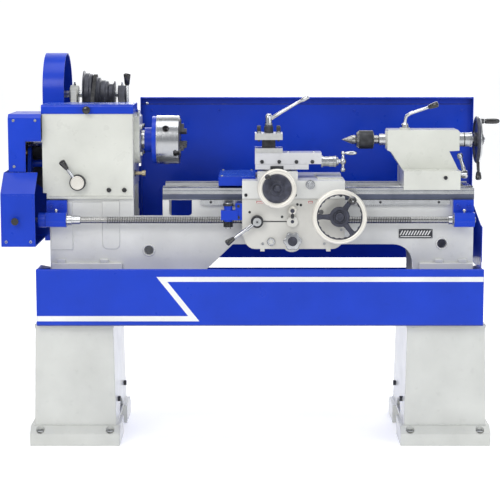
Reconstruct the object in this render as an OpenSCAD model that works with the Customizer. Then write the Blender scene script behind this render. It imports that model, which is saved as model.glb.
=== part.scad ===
// Light centre lathe on a two-leg stand, with cone pulley drive, gap bed, chuck and tailstock.
// +X runs from the headstock to the tailstock, +Z is up and the operator stands on the -Y side.
// The floor is Z = 0 and the origin is under the middle of the machine.

/* [Stand] */
// Height of the plinth under each leg
plinth_h = 50; // [44:1:56]
// Wall thickness of the legs
leg_wall = 10; // [8:1:14]
// Radius of the arch between the front and rear foot
arch_r = 75; // [50:1:90]
// Radius of the anchor bolt holes
anchor_r = 7; // [5:0.5:9]
// Sheet thickness of the chip tray
tray_sheet = 3; // [2:0.5:4]
// Sheet thickness of the splash guard
guard_sheet = 2; // [1.5:0.5:3]

/* [Bed] */
// Thickness of the front and rear wall of the bed
bed_wall = 18; // [14:1:24]
// Radius of the round holes through the bed
bed_hole_r = 15; // [10:1:20]
// Thickness of the ribs across the bed
rib_t = 14; // [10:1:20]

/* [Headstock] */
// Wall thickness of the headstock casting
casting_wall = 12; // [10:1:14]
// Height of the headstock lid
lid_h = 29; // [24:1:32]
// Radius of the gear lever hub
hub_r = 26; // [20:1:28]
// Radius of the hole through the spindle
spindle_bore_r = 13; // [8:0.5:16]

/* [Chuck] */
// Radius of the chuck
chuck_r = 80; // [74:1:80]
// Width of one jaw
jaw_w = 18; // [14:1:20]
// Radius of the hole through the chuck
chuck_bore_r = 22; // [18:1:24]

/* [Gears and belts] */
// Share of the pitch that a tooth takes up
tooth_share = 0.42; // [0.38:0.01:0.43]
// Width of the belts
belt_w = 13; // [10:1:14]
// Radius of the motor body
motor_r = 74; // [60:1:76]

/* [Carriage] */
// Outer radius of the apron handwheel
wheel_r = 88; // [82:1:90]
// Outer radius of the cross slide wheel
cross_wheel_r = 63; // [56:1:64]
// Half width of the square tool post
post_half = 45; // [40:1:48]

/* [Tailstock] */
// Radius of the quill
quill_r = 19; // [16:0.5:21]
// Outer radius of the tailstock wheel
tail_wheel_r = 78; // [70:1:80]

/* [Display] */
// Which sub-part to show, or all

/* [Hidden] */
$fn = 64;
e = 0.3;
fit = 0.05;

blue = [0.12, 0.22, 0.72];
ivory = [0.88, 0.88, 0.84];
bed_grey = [0.78, 0.79, 0.81];
steel = [0.7, 0.71, 0.73];
dark = [0.14, 0.14, 0.16];
bronze = [0.7, 0.5, 0.25];

// Shift that puts the origin under the middle of the footprint
frame_dy = -50;

tray_x = [-697, 735];
tray_y = 235;
tray_z = [395, 575];
tray_floor = 503;
tray_back = 515;

leg_cx = [-580, 620];
leg_half_w = 125;
leg_half_y = 206;
foot_half_w = 145;
anchor_x = 113;
anchor_y = 221;

bed_x = [-665, 715];
bed_half = 112;
way_top = 828;
way_low = 790;
way_inner = 60;
vee_y = 80;
vee_h = 4;

head_x = [-684, -391];
head_y = [-125, 140];
head_z = [828, 1068];
head_step_x = -652;
spindle_z = 977;

// Axis of the lid hinge in Y and Z
hinge_at = [65, 1074];
knuckle_r = 3.2;

// Module and tooth counts of the back gears
bg_m = 3;
bull_z = 48;
back_small_z = 16;
back_big_z = 40;
cone_gear_z = 24;
back_y = 62;
back_dist = bg_m * (bull_z + back_small_z) / 2;
back_dz = sqrt(back_dist * back_dist - back_y * back_y);
back_z = spindle_z - back_dz;
back_dir = atan2(-back_dz, back_y);
bull_x = [-452, -432];
cone_gear_x = [-606, -588];

// Module, tooth counts and centres of the gears at the left end
tr_m = 2.5;
tr_z = [24, 28, 24, 32, 48];
tr_x = [-760, -746];
screw_y = -150;
screw_z = 727;
change_at = [screw_y + 100 * cos(63), screw_z + 100 * sin(63)];
stud_at = [change_at[0] + 70 * cos(60), change_at[1] + 70 * sin(60)];
stud_d = norm([stud_at[0], stud_at[1] - spindle_z]);
tumbler_h = sqrt(65 * 65 - stud_d * stud_d / 4);
tumbler_at = [
  stud_at[0] / 2 - tumbler_h * (spindle_z - stud_at[1]) / stud_d,
  (stud_at[1] + spindle_z) / 2 + tumbler_h * (0 - stud_at[0]) / stud_d
];
spindle_at = [0, spindle_z];
screw_at = [screw_y, screw_z];
ph_spindle = 0;
ph_tumbler = mesh_phase(tr_z[0], ph_spindle, tr_z[1], heading(spindle_at, tumbler_at));
ph_stud = mesh_phase(tr_z[1], ph_tumbler, tr_z[2], heading(tumbler_at, stud_at));
ph_change = mesh_phase(tr_z[2], ph_stud, tr_z[3], heading(stud_at, change_at));
ph_screw = mesh_phase(tr_z[3], ph_change, tr_z[4], heading(change_at, screw_at));

// Cone pulleys and belt drive
cone_x = -583;
cone_step = 26.75;
counter_r = [80, 68, 56, 44];
cone_r = [38, 50, 62, 74];
groove = 9;
belt_step = 1;
counter_y = 230;
counter_z = 1118;
big_pulley_r = 105;
motor_pulley_r = 38;
motor_y = 300;
motor_z = 700;
belt_gap = 0.6;
guard_x = [-712, -640];
long_belt_x = -681.5;

// Apron gears
ap_m = 2;
rack_pinion_z = 15;
reduction_z = 46;
wheel_pinion_z = 12;
pitch_line = 772;
pinion_x = 215;
pinion_zz = pitch_line - ap_m * rack_pinion_z / 2;
wheel_drop = 10;
wheel_reach = ap_m * (reduction_z + wheel_pinion_z) / 2;
wheel_x = pinion_x + sqrt(wheel_reach * wheel_reach - wheel_drop * wheel_drop);
wheel_zz = pinion_zz - wheel_drop;
rack_x = [-175, 636];

saddle_x = [-38, 291];
apron_y = [-190, -128];
cross_x = 73;
cross_zz = 838;
post_x = 48;
slide_y = -50;
slide_zz = 909;
quill_x = [413, 640];

function heading(a, b) = atan2(b[1] - a[1], b[0] - a[0]);
function mesh_phase(z1, p1, z2, dir) = dir + 180 - 180 / z2 + (dir - p1) * z1 / z2;
function polar(r, a) = [r * cos(a), r * sin(a)];

module placed() translate([0, frame_dy, 0]) children();

module span(x, y, z)
  translate([x[0], y[0], z[0]]) cube([x[1] - x[0], y[1] - y[0], z[1] - z[0]]);

module rod_x(x, y, z, r) translate([x[0], y, z]) rotate([0, 90, 0]) cylinder(h = x[1] - x[0], r = r);

module rod_y(y, x, z, r) translate([x, y[0], z]) rotate([-90, 0, 0]) cylinder(h = y[1] - y[0], r = r);

module rod_z(z, x, y, r) translate([x, y, z[0]]) cylinder(h = z[1] - z[0], r = r);

// A drawing in Y and Z pulled out along X
module along_x(x) translate([x[0], 0, 0]) rotate([90, 0, 90]) linear_extrude(x[1] - x[0]) children();

// A drawing in X and Z pulled out along Y
module along_y(y) translate([0, y[1], 0]) rotate([90, 0, 0]) linear_extrude(y[1] - y[0]) children();

module turned_x(x, y, z) translate([x, y, z]) rotate([0, 90, 0]) rotate_extrude() children();

// A round bar between two points
module bar(a, b, r) {
  d = b - a;
  translate(a)
    rotate([0, acos(d[2] / norm(d)), atan2(d[1], d[0])])
      cylinder(h = norm(d), r = r);
}

module hexagon(r) polygon([for (a = [30:60:330]) polar(r, a)]);

module gear_2d(z, m, phase) {
  r = z * m / 2;
  half = tooth_share * 180 / z;
  root = r - 1.15 * m;
  tip = r + 0.8 * m;
  wide = half + atan(1.15 * m * tan(20) / r);
  thin = half - atan(0.8 * m * tan(20) / r);
  polygon([
    for (i = [0:z - 1]) let (a = phase + i * 360 / z)
      each [polar(root, a - wide), polar(tip, a - thin), polar(tip, a + thin), polar(root, a + wide)]
  ]);
}

module gear_x(x, at, z, m, phase) {
  along_x(x) translate(at) gear_2d(z, m, phase);
}

// ---------------------------------------------------------------- stand

module leg(cx) {
  difference() {
    union() {
      along_y([-leg_half_y, leg_half_y])
        polygon([
          [cx - 133, 20], [cx + 133, 20],
          [cx + leg_half_w, tray_z[0]], [cx - leg_half_w, tray_z[0]]
        ]);
      along_x([cx - foot_half_w, cx + foot_half_w])
        polygon([
          [-tray_y, 0], [-tray_y, plinth_h - 10], [-leg_half_y, plinth_h + 12],
          [leg_half_y, plinth_h + 12], [tray_y, plinth_h - 10], [tray_y, 0]
        ]);
    }
    along_y([-leg_half_y + leg_wall, leg_half_y - leg_wall])
      polygon([
        [cx - 133 + leg_wall, -1], [cx + 133 - leg_wall, -1],
        [cx + leg_half_w - leg_wall, tray_z[0] - 12], [cx - leg_half_w + leg_wall, tray_z[0] - 12]
      ]);
    rod_x([cx - 160, cx + 160], 0, 30, arch_r);
    span([cx - 160, cx + 160], [-arch_r, arch_r], [-1, 30]);
    for (sx = [-1, 1], sy = [-1, 1]) {
      rod_z([-1, 80], cx + sx * anchor_x, sy * anchor_y, anchor_r);
      rod_z([plinth_h - 12, 80], cx + sx * anchor_x, sy * anchor_y, 13);
    }
  }
}

module legs() color(ivory) placed() for (cx = leg_cx) leg(cx);

module chip_tray() color(blue) placed() {
  s = tray_sheet;
  difference() {
    along_x(tray_x)
      polygon([
        [-tray_y, tray_z[0]], [-tray_y, tray_z[1]], [-bed_half, tray_z[1]],
        [tray_y, tray_back], [tray_y, tray_z[0]]
      ]);
    span([tray_x[0] + s, tray_x[1] - s], [-tray_y + s, tray_y - s], [tray_floor, tray_z[1] + 1]);
    span([tray_x[0] + s, tray_x[1] - s], [-tray_y + s, tray_y - s], [tray_z[0] - 1, tray_floor - s]);
  }
  rod_x(tray_x, -tray_y + 4, tray_z[1] - 1, 4);
  for (cx = leg_cx, sx = [-1, 1])
    span([cx + sx * 105 - 4, cx + sx * 105 + 4], [-tray_y + s, tray_y - s], [tray_z[0], tray_floor - s]);
}

module splash_guard() color(blue) placed() {
  s = guard_sheet;
  back = [236, 236 + s];
  span([-389, 752], back, [550, 1108]);
  span([-428, -388], back, [550, 870]);
  span([-389, 752], [208, back[0]], [1108 - s, 1108]);
  span([-389, -389 + s], [208, back[0]], [550, 1108 - s]);
  span([752 - s, 752], [208, back[0]], [578, 1108 - s]);
  along_x([752 - s, 752]) polygon([[-64, 578], [-64, 694], [120, 706], [208, 790], [208, 578]]);
  for (x = [-330, 560]) span([x, x + 40], [back[0] - 1, back[1]], [420, 550]);
}

// ---------------------------------------------------------------- bed

module bed_outline() {
  difference() {
    polygon([
      [bed_x[0], tray_floor], [-214, tray_floor], [-69, 643],
      for (a = [90:-10:0]) [454 + 64 * cos(a), 579 + 64 * sin(a)],
      [518, tray_floor], [bed_x[1], tray_floor], [bed_x[1], way_top], [-297, way_top], [-297, 736],
      [-391, 736], [-391, way_top], [bed_x[0], way_top]
    ]);
    translate([-343, 623]) circle(r = bed_hole_r);
    translate([613, 645]) circle(r = bed_hole_r);
    translate([-276, 748]) square([74, 40]);
    translate([-264, 736]) square([50, 20]);
    translate([-264, 748]) circle(r = 12);
    translate([-214, 748]) circle(r = 12);
  }
}

module bed() color(bed_grey) placed() {
  difference() {
    union() {
      along_y([-bed_half, bed_half]) bed_outline();
      for (s = [-1, 1])
        along_x([-297, bed_x[1]])
          polygon([[s * vee_y - 8, way_top - 1], [s * vee_y, way_top + vee_h], [s * vee_y + 8, way_top - 1]]);
      span([-297, bed_x[1]], [-bed_half - 4, -bed_half + 1], [way_low, way_top]);
    }
    span([bed_x[0] + 22, bed_x[1] - 22], [-bed_half + bed_wall, bed_half - bed_wall], [tray_floor + 16, way_low]);
    span([bed_x[0] + 22, bed_x[1] - 22], [-way_inner, way_inner], [way_low - 1, way_top + 9]);
    span([-212, 516], [-bed_half + bed_wall, bed_half - bed_wall], [400, tray_floor + 17]);
    span([-389, -299], [bed_half - bed_wall - 1, bed_half + 1], [700, 760]);
    span([-280, -196], [bed_half - bed_wall - 1, bed_half + 1], [700, 786]);
  }
  for (x = [-460, -180, 60, 300, 530])
    span([x, x + rib_t], [-bed_half + bed_wall, bed_half - bed_wall], [x == -460 ? 600 : 655, 730]);
}

module rack() color(steel) placed() {
  pitch = PI * ap_m;
  half = tooth_share * pitch / 2;
  count = floor((rack_x[1] - rack_x[0]) / pitch) - 1;
  shift = pinion_x - pitch * round((pinion_x - rack_x[0]) / pitch - 1);
  top = pitch_line + 1.15 * ap_m;
  tip = pitch_line - 0.8 * ap_m;
  w = half + 1.15 * ap_m * tan(20);
  t = half - 0.8 * ap_m * tan(20);
  along_y([-bed_half - 12, -bed_half])
    polygon([
      [rack_x[0], 789], [rack_x[0], top],
      for (i = [0:count - 2]) let (c = shift + (i + 0.5) * pitch)
        each [[c - w, top], [c - t, tip], [c + t, tip], [c + w, top]],
      [rack_x[1], top], [rack_x[1], 789]
    ]);
}

module hex_x(x, y, z, r) along_x(x) translate([y, z]) hexagon(r);

// Cap screws on the rack, hexagon bolts on the legs, plugs and the hatched plate
module fasteners() color(dark) placed() {
  for (x = [-140, 230, 410, 600]) rod_y([-bed_half - 15, -bed_half - 12], x, 782, 4);
  for (cx = leg_cx, y = [-120, 120]) {
    hex_x([cx - 140, cx - 130.9], y, 130, 9);
    hex_x([cx + 130.9, cx + 140], y, 130, 9);
  }
  for (cx = leg_cx, x = [-90, 90], y = [-150, 150]) rod_z([tray_floor, tray_floor + 8], cx + x, y, 9);
  for (x = [-470, -420]) rod_y([head_y[0] - 3, head_y[0]], x, 822, 6.5);
  span([472, 582], [-bed_half - 2, -bed_half], [663, 693]);
}

// ---------------------------------------------------------------- headstock

module head_ring(grow, z) {
  x = [head_x[0] + grow, head_x[1] - grow];
  y = [head_y[0] + grow, head_y[1] - grow];
  translate([0, 0, z[0]])
    linear_extrude(z[1] - z[0])
      polygon([
        [x[0], y[0]], [x[1], y[0]], [x[1], y[1]],
        [head_step_x + grow, y[1]], [head_step_x + grow, 112 - grow], [x[0], 112 - grow]
      ]);
}

module headstock() color(ivory) placed() {
  w = casting_wall;
  difference() {
    union() {
      difference() {
        head_ring(0, head_z);
        head_ring(w, [head_z[0] + 10, head_z[1] + 1]);
      }
      span([head_x[0] + 12, head_x[1]], [head_y[0], -bed_half - 5], [793, head_z[0]]);
      span([head_x[0], head_x[0] + 12], [head_y[0], -bed_half - 5], [812, head_z[0]]);
      rod_x([head_x[0], -655], 0, spindle_z, 46);
      rod_x([-420, head_x[1]], 0, spindle_z, 50);
      span([head_x[0] + w, head_x[1] - w], [64, 100], [1056, head_z[1]]);
      span([-640, head_x[1] - w], [99, head_y[1] - w], [1056, head_z[1]]);
      rod_x([-676, -400], back_y, back_z, 9.9);
      rod_x([-676, -400], -34, 850, 6);
      for (k = [[-640 + e, -604], [-464, -436 - e]]) {
        rod_x(k, hinge_at[0], hinge_at[1], knuckle_r);
        span(k, [hinge_at[0] - 1.5, hinge_at[0] + 1.5], [head_z[1] - 1, hinge_at[1]]);
      }
    }
    rod_x([head_x[0] - 1, -650], 0, spindle_z, 34);
    rod_x([-425, head_x[1] + 1], 0, spindle_z, 38);
    rod_y([head_y[0] - 1, head_y[0] + 20], -570, 847, 7.5 + fit);
    rod_x([-404, head_x[1] + 1], -60, 871, 6 + fit);
    span([-592, -468], [63, head_y[1] + 1], [1040, head_z[1] + 1]);
    span([-592, -468], [head_y[1] - w - 1, head_y[1] + 1], [940, head_z[1] + 1]);
  }
}

module bearing_cap() color(ivory) placed() {
  difference() {
    along_x([head_x[1], -373]) {
      translate([0, spindle_z]) circle(r = 78);
      translate([-70, spindle_z]) square([140, 78]);
    }
    rod_x([-400, -370], 0, spindle_z, 38);
  }
  for (a = [45:90:315])
    rod_x([-373, -366], 62 * cos(a), spindle_z + 62 * sin(a), 6);
  difference() {
    rod_x([head_x[0], -660], 0, spindle_z, 34);
    rod_x([head_x[0] - 1, -650], 0, spindle_z, 24 + fit);
  }
  difference() {
    rod_x([-418, -373], 0, spindle_z, 38);
    rod_x([-420, -370], 0, spindle_z, 30 + fit);
  }
}

module headstock_lid() color(blue) placed() {
  x = [-686, -389];
  y = [-127, 61];
  z = [head_z[1] + e, head_z[1] + lid_h];
  difference() {
    along_x(x)
      polygon([[y[0], z[0]], [y[0], z[1] - 6], [y[0] + 6, z[1]], [y[1], z[1]], [y[1], z[0]]]);
    span([x[0] + 3, x[1] - 3], [y[0] + 3, y[1] - 3], [z[0] - 1, z[1] - 3]);
    span([-595, -465], [20, y[1] + 1], [z[0] - 1, z[1] + 1]);
  }
  rod_y([-137, -127], -538, 1081, 5);
  rod_y([-149, -137], -538, 1081, 12);
  for (k = [[-676, -640], [-436, -400]]) {
    rod_x(k, hinge_at[0], hinge_at[1], knuckle_r);
    span(k, [y[1] - 3, hinge_at[0]], [hinge_at[1] - 2, hinge_at[1] + 2]);
  }
}

module gear_lever() color(steel) placed() {
  at = [-570, 847];
  rod_y([-150, head_y[0] - e], at[0], at[1], hub_r);
  rod_y([head_y[0] - e, -100], at[0], at[1], 7.5);
  along_y([-100, -92]) {
    translate(at) circle(r = 8.5);
    translate(at) rotate(68.5) translate([0, -6]) square([34, 12]);
  }
  rod_y([-100, -72], at[0] + 11, at[1] + 27.9, 5);
  bar([at[0] - 6, -140, at[1] + 9], [at[0] - 31, -150, at[1] + 44], 5.5);
  bar([at[0] - 31, -150, at[1] + 44], [at[0] - 51, -156, at[1] + 73], 11);
}

module shift_fork() color(bronze) placed() {
  difference() {
    along_x([-545, -537]) {
      difference() {
        union() {
          translate([back_y, back_z]) circle(r = 21);
          polygon([[back_y - 20, back_z - 8], [back_y + 6, back_z - 20], [-20, 840.5], [-45, 840.5], [-45, 866]]);
        }
        translate([back_y, back_z]) circle(r = 14.4);
        translate([-34, 850]) circle(r = 6 + fit);
      }
    }
  }
  difference() {
    rod_x([-560, -522], -34, 850, 9.5);
    rod_x([-561, -521], -34, 850, 6 + fit);
  }
  difference() {
    span([-568, -550], [-88, -42], [858.5, 892]);
    span([-564.8, -553.2], [-90, -60], [866, 890]);
    rod_x([-570, -549], -34, 850, 20);
  }
  span([-550, -537], [-58, -42], [858.5, 866]);
}

module back_gears() color(steel) placed() {
  difference() {
    union() {
      gear_x(cone_gear_x, [back_y, back_z], back_big_z, bg_m, ph_back_big);
      gear_x(bull_x, [back_y, back_z], back_small_z, bg_m, ph_back_small);
      rod_x([-590, -450], back_y, back_z, 14);
      rod_x([-551, -546], back_y, back_z, 20);
      rod_x([-536, -531], back_y, back_z, 20);
    }
    rod_x([-620, -420], back_y, back_z, 9.96);
  }
}
ph_back_big = mesh_phase(cone_gear_z, 0, back_big_z, back_dir);
ph_back_small = mesh_phase(bull_z, 0, back_small_z, back_dir);

// Half section of a stepped pulley, first step at the low end
module cone_section(radii, x0, bore) {
  n = len(radii);
  difference() {
    polygon([
      [bore, x0], [radii[0], x0],
      for (i = [0:n - 1]) let (a = x0 + i * cone_step, r = radii[i], q = min(r, i + 1 < n ? radii[i + 1] : r))
        each [[r, a + 3], [r - groove, a + 7], [r - groove, a + 20], [q, a + 23.75], [q, a + cone_step]],
      [bore, x0 + n * cone_step]
    ]);
  }
}

module cone_pulley() color(dark) placed() {
  x1 = cone_x + 4 * cone_step;
  translate([0, 0, spindle_z])
    rotate([0, 90, 0]) {
      rotate_extrude()
        polygon([
          [24.06, cone_gear_x[1] - 1], [30, cone_gear_x[1] - 1], [30, cone_x], [cone_r[0], cone_x],
          for (i = [0:3]) let (a = cone_x + i * cone_step, r = cone_r[i], p = i == 0 ? r : cone_r[i - 1])
            each [[p, a], [p, a + 3], [r - groove, a + 7], [r - groove, a + 20], [r, a + 23.75]],
          [cone_r[3], x1], [24.06, x1]
        ]);
    }
  difference() {
    gear_x(cone_gear_x, [0, spindle_z], cone_gear_z, bg_m, 0);
    rod_x([-620, -580], 0, spindle_z, 24.06);
  }
}

module spindle() color(steel) placed() {
  difference() {
    union() {
      rod_x([-770, -425], 0, spindle_z, 24);
      rod_x([-455, -360], 0, spindle_z, 30);
      gear_x(bull_x, [0, spindle_z], bull_z, bg_m, 0);
      gear_x(tr_x, spindle_at, tr_z[0], tr_m, ph_spindle);
      rod_x([-647, -612], 0, spindle_z, 31);
    }
    rod_x([-780, -350], 0, spindle_z, spindle_bore_r);
  }
}

// ---------------------------------------------------------------- chuck

module chuck_backplate() color(blue) placed() difference() {
  union() {
    rod_x([-360, -334], 0, spindle_z, 40);
    rod_x([-334, -316], 0, spindle_z, chuck_r - 3);
  }
  rod_x([-365, -310], 0, spindle_z, spindle_bore_r + 2);
}

module around_spindle(a) translate([0, 0, spindle_z]) rotate([a, 0, 0]) children();

module chuck_body() color(steel) placed() difference() {
  turned_x(0, 0, spindle_z)
    polygon([
      [chuck_bore_r, -316], [chuck_r, -316], [chuck_r, -247], [chuck_r - 3, -244], [chuck_bore_r, -244]
    ]);
  for (a = [0, 120, 240])
    around_spindle(a) {
      span([-264, -243], [-jaw_w / 2 - e, jaw_w / 2 + e], [0, chuck_r + 1]);
      span([-261, -253], [-jaw_w / 2 - 3 - e, jaw_w / 2 + 3 + e], [0, chuck_r + 1]);
    }
  for (a = [60, 180, 300])
    around_spindle(a) {
      rod_z([chuck_r - 14, chuck_r + 1], -288, 0, 10);
      span([-293, -283], [-5, 5], [chuck_r - 26, chuck_r]);
    }
}

module jaw(a) around_spindle(a) difference() {
  union() {
    along_y([-jaw_w / 2, jaw_w / 2])
      polygon([
        [-263.7, 18], [-263.7, 68], [-240, 68], [-240, 52], [-231, 52], [-231, 36], [-222, 36], [-222, 18]
      ]);
    span([-260.7, -253.3], [-jaw_w / 2 - 3, jaw_w / 2 + 3], [24, 68]);
  }
  for (s = [-1, 1])
    translate([0, 0, 12]) rotate([s * 58, 0, 0]) span([-270, -215], [-40, 40], [-30, 0]);
}

module jaw_1() color(steel) placed() jaw(0);
module jaw_2() color(steel) placed() jaw(120);
module jaw_3() color(steel) placed() jaw(240);

module plunger() color(bronze) placed() {
  rod_x([-420, -366], -60, 871, 6);
  rod_x([-366, -355], -60, 871, 10);
}

// ---------------------------------------------------------------- gear end

module gear_cover_upper() color(blue) placed() {
  x = [-790, head_x[0]];
  difference() {
    along_x(x)
      polygon([[-150, 883], [-150, 1056], [-138, 1068], [48, 1068], [48, 883]]);
    along_x([x[0] + 3, x[1] + 1])
      polygon([[-147, 880], [-147, 1055], [-137, 1065], [45, 1065], [45, 880]]);
    span([-735, x[1] + 1], [-151, -140], [880, 981]);
    rod_x([x[0] - 1, x[0] + 4], 0, spindle_z, 20);
  }
  span([x[0], x[1]], [45, 48], [650, 883]);
  span([x[1] - 6, bed_x[0]], [45, 48], [650, 790]);
}

module gear_cover_lower() color(blue) placed() {
  x = [-806, -697];
  profile = [[-230, 650], [-230, 820], [-153, 880], [-153, 881.5], [42, 881.5], [42, 650]];
  difference() {
    along_x(x) polygon(profile);
    along_x([x[0] + 3, x[1] + 1])
      polygon([[-227, 653], [-227, 818.5], [-152, 877], [-152, 890], [43, 890], [43, 653]]);
  }
  rod_z([655, 695], x[0] + 7, 39, 5);
  rod_z([835, 875], x[0] + 7, 39, 5);
  rod_y([-240, -230], -759, 733, 5);
  rod_y([-252, -240], -759, 733, 11);
}

// Bracket plate on the end of the machine with the studs that carry the gears
module gear_bracket() color(blue) placed() {
  difference() {
    along_x([-738, -728])
      difference() {
        union() {
          hull() {
            translate(tumbler_at) circle(r = 17);
            translate(stud_at) circle(r = 19);
          }
          hull() {
            translate(stud_at) circle(r = 19);
            translate(change_at) circle(r = 19);
          }
          hull() {
            translate(change_at) circle(r = 19);
            translate(screw_at) circle(r = 24);
          }
          hull() {
            translate(stud_at) circle(r = 17);
            translate([-20, 900]) circle(r = 17);
          }
        }
        translate(screw_at) circle(r = 11);
      }
  }
  rod_x([-728, -684], -20, 900, 12);
  for (at = [tumbler_at, stud_at, change_at]) {
    rod_x([-764, -738], at[0], at[1], 7);
    rod_x([-768, -764], at[0], at[1], 10);
  }
}

module train_gear(i, at, phase) difference() {
  union() {
    gear_x(tr_x, at, tr_z[i], tr_m, phase);
    rod_x([tr_x[0] - 2, tr_x[1] + 6], at[0], at[1], 13);
  }
  rod_x([-780, -730], at[0], at[1], 7 + fit);
}

module tumbler_gear() color(bronze) placed() train_gear(1, tumbler_at, ph_tumbler);
module stud_gear() color(dark) placed() train_gear(2, stud_at, ph_stud);
module change_gear() color(dark) placed() train_gear(3, change_at, ph_change);

module lead_screw() color(steel) placed() {
  rod_x([-768, 716], screw_y, screw_z, 9);
  rod_x([-605, 640], screw_y, screw_z, 10.5);
  rod_x([-603, -590], screw_y, screw_z, 17);
  rod_x([-590, -562], screw_y, screw_z, 14);
  gear_x(tr_x, screw_at, tr_z[4], tr_m, ph_screw);
}

module screw_brackets() color(blue) placed() {
  difference() {
    union() {
      span([-672, -606], [-136, -bed_half], [708, 789]);
      span([-672, -606], [-172, -136], [708, 752]);
      rod_x([-672, -606], screw_y, screw_z, 23);
    }
    rod_x([-680, -600], screw_y, screw_z, 9 + fit);
  }
  difference() {
    union() {
      span([646, 712], [-136, -bed_half], [708, 790]);
      span([646, 712], [-172, -136], [708, 752]);
      rod_x([646, 712], screw_y, screw_z, 23);
    }
    rod_x([640, 720], screw_y, screw_z, 9 + fit);
  }
}

// ---------------------------------------------------------------- rear drive

module countershaft_bracket() color(ivory) placed() {
  arms = [[-625, -605], [-462, -442]];
  difference() {
    union() {
      span([guard_x[1], -430], [150, 166], [740, 990]);
      span([guard_x[1], -430], [bed_half, 150], [745, 815]);
      for (x = arms) {
        along_x(x)
          polygon([
            [150, 860], [150, 990], [198, counter_z + 14], [counter_y, counter_z + 30], [counter_y + 30, counter_z],
            [200, 990], [166, 880]
          ]);
        rod_x([x[0] - 4, x[1] + 4], counter_y, counter_z, 30);
      }
    }
    rod_x([-640, -430], counter_y, counter_z, 12 + fit);
    rod_x([-470, -430], 162, 1012, 6 + fit);
  }
}

module countershaft() color(dark) placed() {
  translate([0, counter_y, counter_z])
    rotate([0, 90, 0]) {
      rotate_extrude() polygon([[0, -708], [12, -708], [12, -440], [0, -440]]);
      rotate_extrude() cone_section(counter_r, cone_x, 11);
      translate([0, 0, long_belt_x])
        rotate_extrude()
          polygon([
            [11, -19.5], [40, -19.5], [40, -9.5], [big_pulley_r - 16, -9.5], [big_pulley_r - 16, -16.5],
            [big_pulley_r, -16.5], [big_pulley_r, -13.5], [big_pulley_r - groove, -7.5],
            [big_pulley_r - groove, 7.5], [big_pulley_r, 13.5], [big_pulley_r, 16.5],
            [big_pulley_r - 16, 16.5], [big_pulley_r - 16, 2.5], [40, 2.5], [40, 20.5], [11, 20.5]
          ]);
    }
}

module guard_arch(r, low, half) {
  translate([250, 1258 - 132]) circle(r = r);
  translate([250 - half, low]) square([2 * half, 1258 - 132 - low]);
}

module belt_guard() color(blue) placed() difference() {
  along_x(guard_x) guard_arch(132, 625, 132);
  along_x([guard_x[0] + 2, guard_x[1] + 1]) guard_arch(130, 624, 130);
  span([head_step_x - 1.5, guard_x[1] + 1], [117, 121], [head_z[0] - 1.5, head_z[1] + 1.5]);
}

module motor() color(dark) placed() {
  rod_x([-640, -450], motor_y, motor_z, motor_r);
  rod_x([-708, -640], motor_y, motor_z, 10);
  rod_x([-450, -430], motor_y, motor_z, motor_r - 6);
  span([-600, -490], [motor_y - 60, motor_y + 60], [617, 640]);
  span([-580, -510], [motor_y - 45, motor_y + 20], [motor_z + 60, motor_z + 100]);
  span([-655, -430], [tray_y + e, 400], [605, 617]);
  span([-655, -430], [tray_y + e, tray_y + 8], [430, 606]);
  for (x = [-655, -442])
    along_x([x, x + 12]) polygon([[tray_y + 7, 606], [380, 606], [tray_y + 7, 460]]);
}

module motor_pulley() color(dark) placed()
  turned_x(long_belt_x, motor_y, motor_z)
    polygon([
      [10 + fit, -16.5], [motor_pulley_r, -16.5], [motor_pulley_r, -13.5], [motor_pulley_r - groove, -7.5],
      [motor_pulley_r - groove, 7.5], [motor_pulley_r, 13.5], [motor_pulley_r, 16.5], [20, 16.5],
      [20, 31.5], [10 + fit, 31.5]
    ]);

module belt_loop(x, a, ra, b, rb) along_x(x) difference() {
  hull() {
    translate(a) circle(r = ra + 8);
    translate(b) circle(r = rb + 8);
  }
  hull() {
    translate(a) circle(r = ra);
    translate(b) circle(r = rb);
  }
}

module drive_belts() color(dark) placed() {
  c = cone_x + belt_step * cone_step + 13.5;
  g = belt_gap - groove;
  belt_loop([c - 5.5, c + 5.5], spindle_at, cone_r[belt_step] + g,
    [counter_y, counter_z], counter_r[belt_step] + g);
  belt_loop([long_belt_x - belt_w / 2, long_belt_x + belt_w / 2], [counter_y, counter_z], big_pulley_r + g,
    [motor_y, motor_z], motor_pulley_r + g);
}

module tension_lever() color(steel) placed() {
  rod_x([-450, -436 - e], 162, 1012, 6);
  rod_x([-437.4, -422], 162, 1012, 15);
  rod_z([1024, 1152], -430, 162, 6);
  translate([-430, 162, 1150]) cylinder(h = 42, r1 = 9, r2 = 12.5);
}

// ---------------------------------------------------------------- carriage

module saddle() color(bed_grey) placed() {
  z = [way_top + e, 858];
  difference() {
    union() {
      span(saddle_x, [-190, -58], z);
      span(saddle_x, [58, 125], z);
      span([10, 200], [-59, 59], z);
      span(saddle_x, [-190, -bed_half - 6], [800, z[0] + 1]);
      span([40, 106], [-200, -189], [812, 857]);
      along_y([-180, 120]) polygon([[40, 857], [106, 857], [112, 868], [34, 868]]);
      span([90, 180], [-57, 57], [764, z[0] + 1]);
      for (s = [-1, 1]) span([90, 180], s > 0 ? [56, 84] : [-84, -56], [764, way_low - 1]);
    }
    for (s = [-1, 1])
      along_x([-40, 300])
        polygon([[s * vee_y - 10, way_top], [s * vee_y, way_top + vee_h + 1], [s * vee_y + 10, way_top]]);
    rod_y([-201, 90], cross_x, cross_zz, 6.5);
    rod_x([saddle_x[1] - 30, saddle_x[1] + 1], -160, 845, 4);
    span([pinion_x - 52, pinion_x + 52], [-180, -162], [799, 808]);
  }
}

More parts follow.
